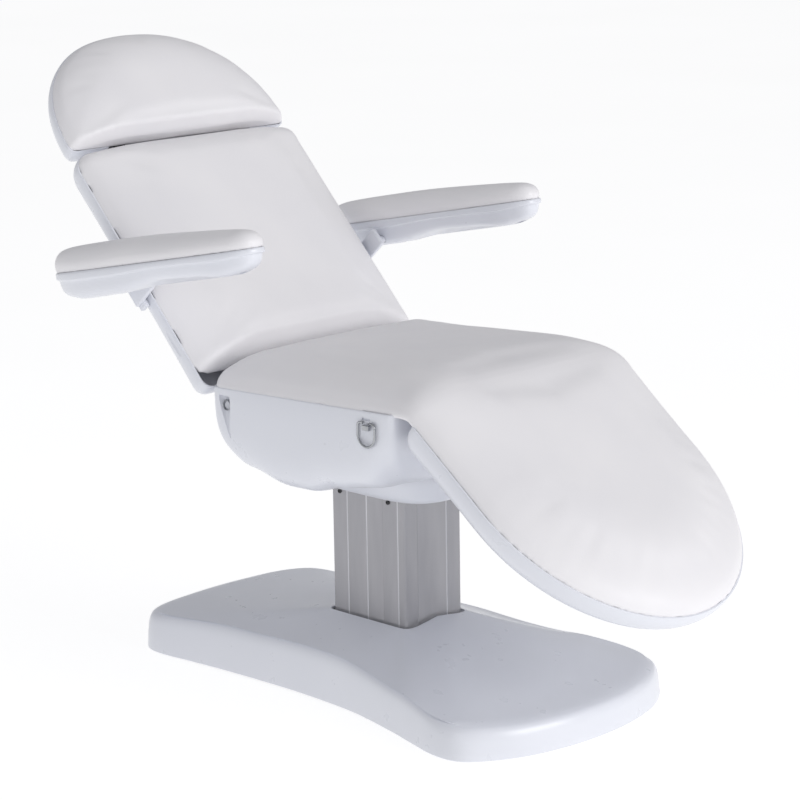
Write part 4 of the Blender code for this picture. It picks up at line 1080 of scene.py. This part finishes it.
def make_base():
    out = base_outline()
    hole = about(out, 0.0, (COL_X + 0.0090, COL_Y + 0.0090), 14)

    def crown(x, y, a, px):
        z = base_rim(px) + (0.140 - base_rim(px)) * (1 - a) ** 1.35
        # low ridge that runs forward from the column
        r = math.exp(-((y - 0.008) / 0.034) ** 2) * 0.0090 * smooth((x - 0.02) / 0.085) * (1 - smooth((x - 0.112) / 0.16))
        return z + r

    def between(a, drop=0.0, grow=0.0):
        ring = []
        for (hx, hy), (px, py) in zip(hole, out):
            hx, hy = hx * (1 + grow), hy * (1 + grow)
            x, y = hx + (px - hx) * a, hy + (py - hy) * a
            ring.append((CX + x, y, crown(x, y, a, px) - drop))
        return ring

    def wall(d, z, from_rim=True):
        return [(CX + x * (1 - d / 0.52), y * (1 - d / 0.26), (base_rim(x) - z) if from_rim else z) for x, y in out]

    rings = [wall(0.0014, 0.0040, False), wall(0.0003, 0.0052, False), wall(0.0, 0.0075, False), wall(0.0014, 0.045), wall(0.0030, 0.026), wall(0.0042, 0.0190),
             wall(0.0056, 0.0135), wall(0.0074, 0.0090), wall(0.0096, 0.0055), wall(0.0124, 0.0030), wall(0.0160, 0.0012)]
    for a in (0.93, 0.89, 0.84, 0.78, 0.71, 0.64, 0.56, 0.48, 0.40, 0.32, 0.25, 0.18, 0.12, 0.07, 0.035, 0.014, 0.004):
        rings.append(between(a, 0.0))
    rings.append(between(0.0, 0.0004))
    rings.append(between(0.0, 0.0016, -0.002))
    for a in (0.0, 0.20, 0.45, 0.70, 0.86):
        rings.append(between(a, 0.0050))
    rings += [wall(0.0150, 0.020), wall(0.0060, 0.005, False)]
    cover = loft("base_cover_moulding", rings, "moulded_white", loop=True, sharp=50)
    cut(cover, block("inlet", (-0.60, -0.0175, 0.0265), (-0.50, 0.0175, 0.0535), seat_pt, bevel=0.002))
    sharpen(cover, 40)
    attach(cover, "base")
    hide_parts("base_cover")

    ring_out = resample(rounded([(-0.1083, -0.0853, 0.010), (0.1083, -0.0853, 0.010), (0.1083, 0.0853, 0.010), (-0.1083, 0.0853, 0.010)], 8), 0.004)
    n = len(ring_out)
    ring_in = about(ring_out, 0.0, (0.1012, 0.0782), 30)
    mid = 0.45 * ring_out + 0.55 * ring_in
    rings = [[(CX + x, y, z) for x, y in r] for r, z in ((ring_out, 0.112), (ring_out, 0.1260), (ring_out * 0.6 + mid * 0.4, 0.1290), (mid, 0.1300), (mid * 0.4 + ring_in * 0.6, 0.1325), (ring_in, 0.1335), (ring_in, 0.112))]
    g = loft("column_wiper_seal", rings, "gasket_grey", loop=True, sharp=50)
    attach(g, "base")
    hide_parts("column_gasket")


def make_column():
    """Extruded outer profile with sunk grooves down its faces."""
    corners = rounded([(-COL_X, -COL_Y, 0.005), (COL_X, -COL_Y, 0.005), (COL_X, COL_Y, 0.005), (-COL_X, COL_Y, 0.005)], 8)

    def groove(c, half, depth):
        return [(c - half - 0.0012, 0.0), (c - half, 0.0004), (c - half + 0.0003, depth * 0.75), (c - half * 0.45, depth), (c + half * 0.45, depth),
                (c + half - 0.0003, depth * 0.75), (c + half, 0.0004), (c + half + 0.0012, 0.0)]

    wide = [(-0.058, 0.0016, 0.0012), (-0.005, 0.0018, 0.0013), (0.0385, 0.0007, 0.0006), (0.0795, 0.0017, 0.0013)]
    short = [(-0.0435, 0.0009, 0.0009), (0.037, 0.0018, 0.0013)]
    pts = []
    n = len(corners) // 4
    faces = {0: ("y", -1, wide), 1: ("x", 1, short), 2: ("y", 1, [(-c, h, d) for c, h, d in wide]), 3: ("x", -1, [(-c, h, d) for c, h, d in short])}
    for i in range(4):
        pts += corners[i * n:(i + 1) * n]
        axis, sign, grooves = faces[i]
        if axis == "y":
            run = sorted([p for g in grooves for p in groove(*((-g[0] if sign > 0 else g[0]), g[1], g[2]))], key=lambda p: p[0])
            if sign > 0:
                run = run[::-1]
            pts += [(a, sign * (COL_Y - d)) for a, d in run]
        else:
            run = sorted([p for g in grooves for p in groove(*((g[0] if sign > 0 else g[0]), g[1], g[2]))], key=lambda p: p[0])
            if sign < 0:
                run = run[::-1]
            pts += [(sign * (COL_X - d), a) for a, d in run]
    inner = [(x * (COL_X - 0.0035) / COL_X, y * (COL_Y - 0.0035) / COL_Y) for x, y in pts]
    rings = [[(CX + x, y, z) for x, y in r] for r, z in ((pts, 0.030), (pts, 0.25), (pts, 0.455), (inner, 0.455), (inner, 0.030))]
    col = loft("column_extrusion", rings, "aluminium", loop=True, sharp=25)
    # second slot: the painted-highlight aluminium, given to the groove floors below
    col.data.materials.append(MATS["aluminium_bright"])
    broad = ((-0.058, -0.005, 0.0795), (0.037,))
    for f in col.data.polygons:
        c, n = f.center, f.normal
        x, y = c.x - CX, c.y
        if abs(n.z) > 0.5 or COL_X - 0.0036 < 0:
            continue
        if abs(y) > COL_Y - 0.0030 and abs(y) < COL_Y - 0.0005 and y * n.y > 0 and any(abs(x - g) < 0.0022 for g in broad[0]):
            f.material_index = 1
        if abs(x) > COL_X - 0.0030 and abs(x) < COL_X - 0.0005 and x * n.x > 0 and any(abs(abs(y) - g) < 0.0022 and y * x > 0 for g in broad[1]):
            f.material_index = 1
    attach(col, "carriage")
    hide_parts("column_outer")
    for name, x in (("rear", -0.0765), ("front", 0.0555)):
        s = turned("column_cap_screw_" + name, "Y", (x, -COL_Y - 0.0003, 0.3815),
                   [(0.0, 0.0044), (-0.0016, 0.0044), (-0.0024, 0.0041), (-0.0029, 0.0034), (-0.0029, 0.0021), (-0.0012, 0.0019), (-0.0012, 0.0002)], seat_pt, "black_plastic", n=28)
        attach(s, "carriage")
        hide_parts("column_screw_" + name)


def make_hardware():
    for tag, side in (("left", 1), ("right", -1)):
        # accessory socket: a turned metal cup with a rolled edge
        cup = turned("accessory_socket_" + tag, "Y", (-0.154, 0, 0.5795),
                     [(side * y, r) for y, r in ((0.2700, 0.0100), (0.2703, 0.0108), (0.2900, 0.0110), (0.2952, 0.0110), (0.2963, 0.0106), (0.2966, 0.0098), (0.2963, 0.0090),
                                                 (0.2950, 0.0084), (0.2900, 0.0080), (0.2768, 0.0080), (0.2760, 0.0072))], seat_pt, "chrome", n=36)
        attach(cup, "seat")
        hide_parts("socket_" + tag)
        lo, hi = sorted((side * 0.3025, side * 0.3100))
        b = block("ring_mount_" + tag, (0.2335 - 0.0085, lo, 0.5920), (0.2335 + 0.0085, hi, 0.6025), seat_pt, "chrome", bevel=0.0016, segments=4)
        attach(b, "seat")
        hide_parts("ring_bracket_" + tag)
        r, w, drop, m = 0.0024, 0.0215, 0.0230, 28
        path = [(-0.0085, 0.0), (-0.0125, 0.0), (-0.0175, -0.0008), (-0.0200, -0.0026), (-w, -0.0050), (-w, -0.012), (-w, -0.018)]
        path += [(-w * math.cos(math.pi * k / m), -drop - w * math.sin(math.pi * k / m)) for k in range(m + 1)]
        path += [(w, -0.018), (w, -0.012), (w, -0.0050), (0.0200, -0.0026), (0.0175, -0.0008), (0.0125, 0.0), (0.0085, 0.0)]
        ring = tube_along("handset_hook_" + tag, [seat_pt(0.2335 + x, side * 0.3062, 0.6060 + z) for x, z in path], r, "chrome", n=20)
        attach(ring, "ring_" + tag)
        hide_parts("handset_ring_" + tag)


def make_brackets():
    """Armrest brackets, softened at every edge."""
    for tag, side in (("left", 1), ("right", -1)):
        lo, hi = sorted((side * 0.3040, side * 0.3145))
        lug = block("armrest_bracket_" + tag, (-ARM_U - 0.020, lo, -0.014), (-ARM_U + 0.020, hi, ARM_V + 0.015), back_pt, "moulded_white", bevel=0.0035, segments=4)
        lo, hi = sorted((side * (BACK_HALF + 0.0010), side * 0.3080))
        join(lug, block("foot", (-ARM_U - 0.030, lo, -0.014), (-ARM_U + 0.030, hi, 0.006), back_pt, "moulded_white", bevel=0.0022, segments=4))
        join(lug, turned("pin", "Y", (-ARM_U, 0, ARM_V), sorted([(side * 0.3100, 0.0072), (side * 0.3440, 0.0072)]), back_pt, "moulded_white"))
        sharpen(lug, 40)
        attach(lug, "back")
        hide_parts("arm_bracket_" + tag)


# ---------------------------------------------------------------- everything is made here
for maker in (make_base, make_column, make_bowl, make_seat_shell, make_back_shell, make_head_shell, make_leg_shell, make_hardware, make_brackets):
    maker()
for tag, side in (("left", 1), ("right", -1)):
    make_arm(tag, side)
make_seat_and_leg_pad()
make_back_pad()
make_head_pad()

# carried-over CAD nodes take the procedural material of their slot
SLOT_OF = {s: s for s in ("moulded_white", "white_vinyl", "aluminium", "steel", "chrome", "black_rubber", "grey_plastic", "black_plastic")}
for name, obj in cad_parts.items():
    if obj.hide_render or obj.type != "MESH":
        continue
    old = obj.data.materials[0].name if obj.data.materials and obj.data.materials[0] else "steel"
    key = next((s for s in SLOT_OF if s in old), "steel")
    obj.data.materials.clear()
    obj.data.materials.append(MATS[key])
    print("carried", name, old, "->", key)

# ---------------------------------------------------------------- floor, light, camera
bpy.ops.mesh.primitive_plane_add(size=120.0, location=(0, 0, 0))
floor = bpy.context.object
floor.name = "floor"
floor.data.materials.append(MATS["stage_floor"])

world = bpy.data.worlds.new("studio")
bpy.context.scene.world = world
world.use_nodes = True
wb = world.node_tree.nodes["Background"]
wb.inputs["Color"].default_value = (0.97, 0.975, 1.0, 1.0)
wb.inputs["Strength"].default_value = 0.47


def area(name, at, aim, size, power_w, colour=(1, 1, 1)):
    data = bpy.data.lights.new(name, "AREA")
    data.shape = "RECTANGLE"
    data.size, data.size_y = size
    data.energy = power_w
    data.color = colour
    lamp = bpy.data.objects.new(name, data)
    bpy.context.scene.collection.objects.link(lamp)
    lamp.location = at
    lamp.rotation_euler = (Vector(aim) - Vector(at)).to_track_quat("-Z", "Y").to_euler()
    return lamp


area("key_front", (8.6, 1.5, 3.0), (0, 0, 0.6), (5.5, 3.6), 350.0, (1.0, 0.995, 0.995))
area("fill_near", (1.2, -4.2, 1.6), (0, 0, 0.6), (3.0, 2.2), 14.0, (0.97, 0.98, 1.0))
area("top_soft", (0.2, 0.4, 4.2), (0, 0, 0.5), (3.0, 3.0), 8.0)

cam_data = bpy.data.cameras.new("camera")
cam_data.lens, cam_data.sensor_width = 123.75, 36.0
cam = bpy.data.objects.new("camera", cam_data)
bpy.context.scene.collection.objects.link(cam)
bpy.context.scene.camera = cam
AZ, EL, ROLL = math.radians(44.927), math.radians(12.7607), math.radians(0.9274)
view_back = Vector((0.6888, -0.6905, 0.2209)).normalized()
view_right = Vector((math.cos(AZ), math.sin(AZ), 0.0))
view_right = (view_right - view_back * view_right.dot(view_back)).normalized()
view_up = view_back.cross(view_right).normalized()
c, s = math.cos(ROLL), math.sin(ROLL)
right2 = view_right * c - view_up * s
up2 = view_right * s + view_up * c
cam.matrix_world = Matrix(((right2.x, up2.x, view_back.x, 3.681), (right2.y, up2.y, view_back.y, -3.665), (right2.z, up2.z, view_back.z, 1.736), (0, 0, 0, 1)))
cam_data.clip_end = 200.0

bpy.context.scene.view_settings.view_transform = "Standard"
bpy.context.scene.view_settings.look = "None"
bpy.context.scene.frame_set(1)
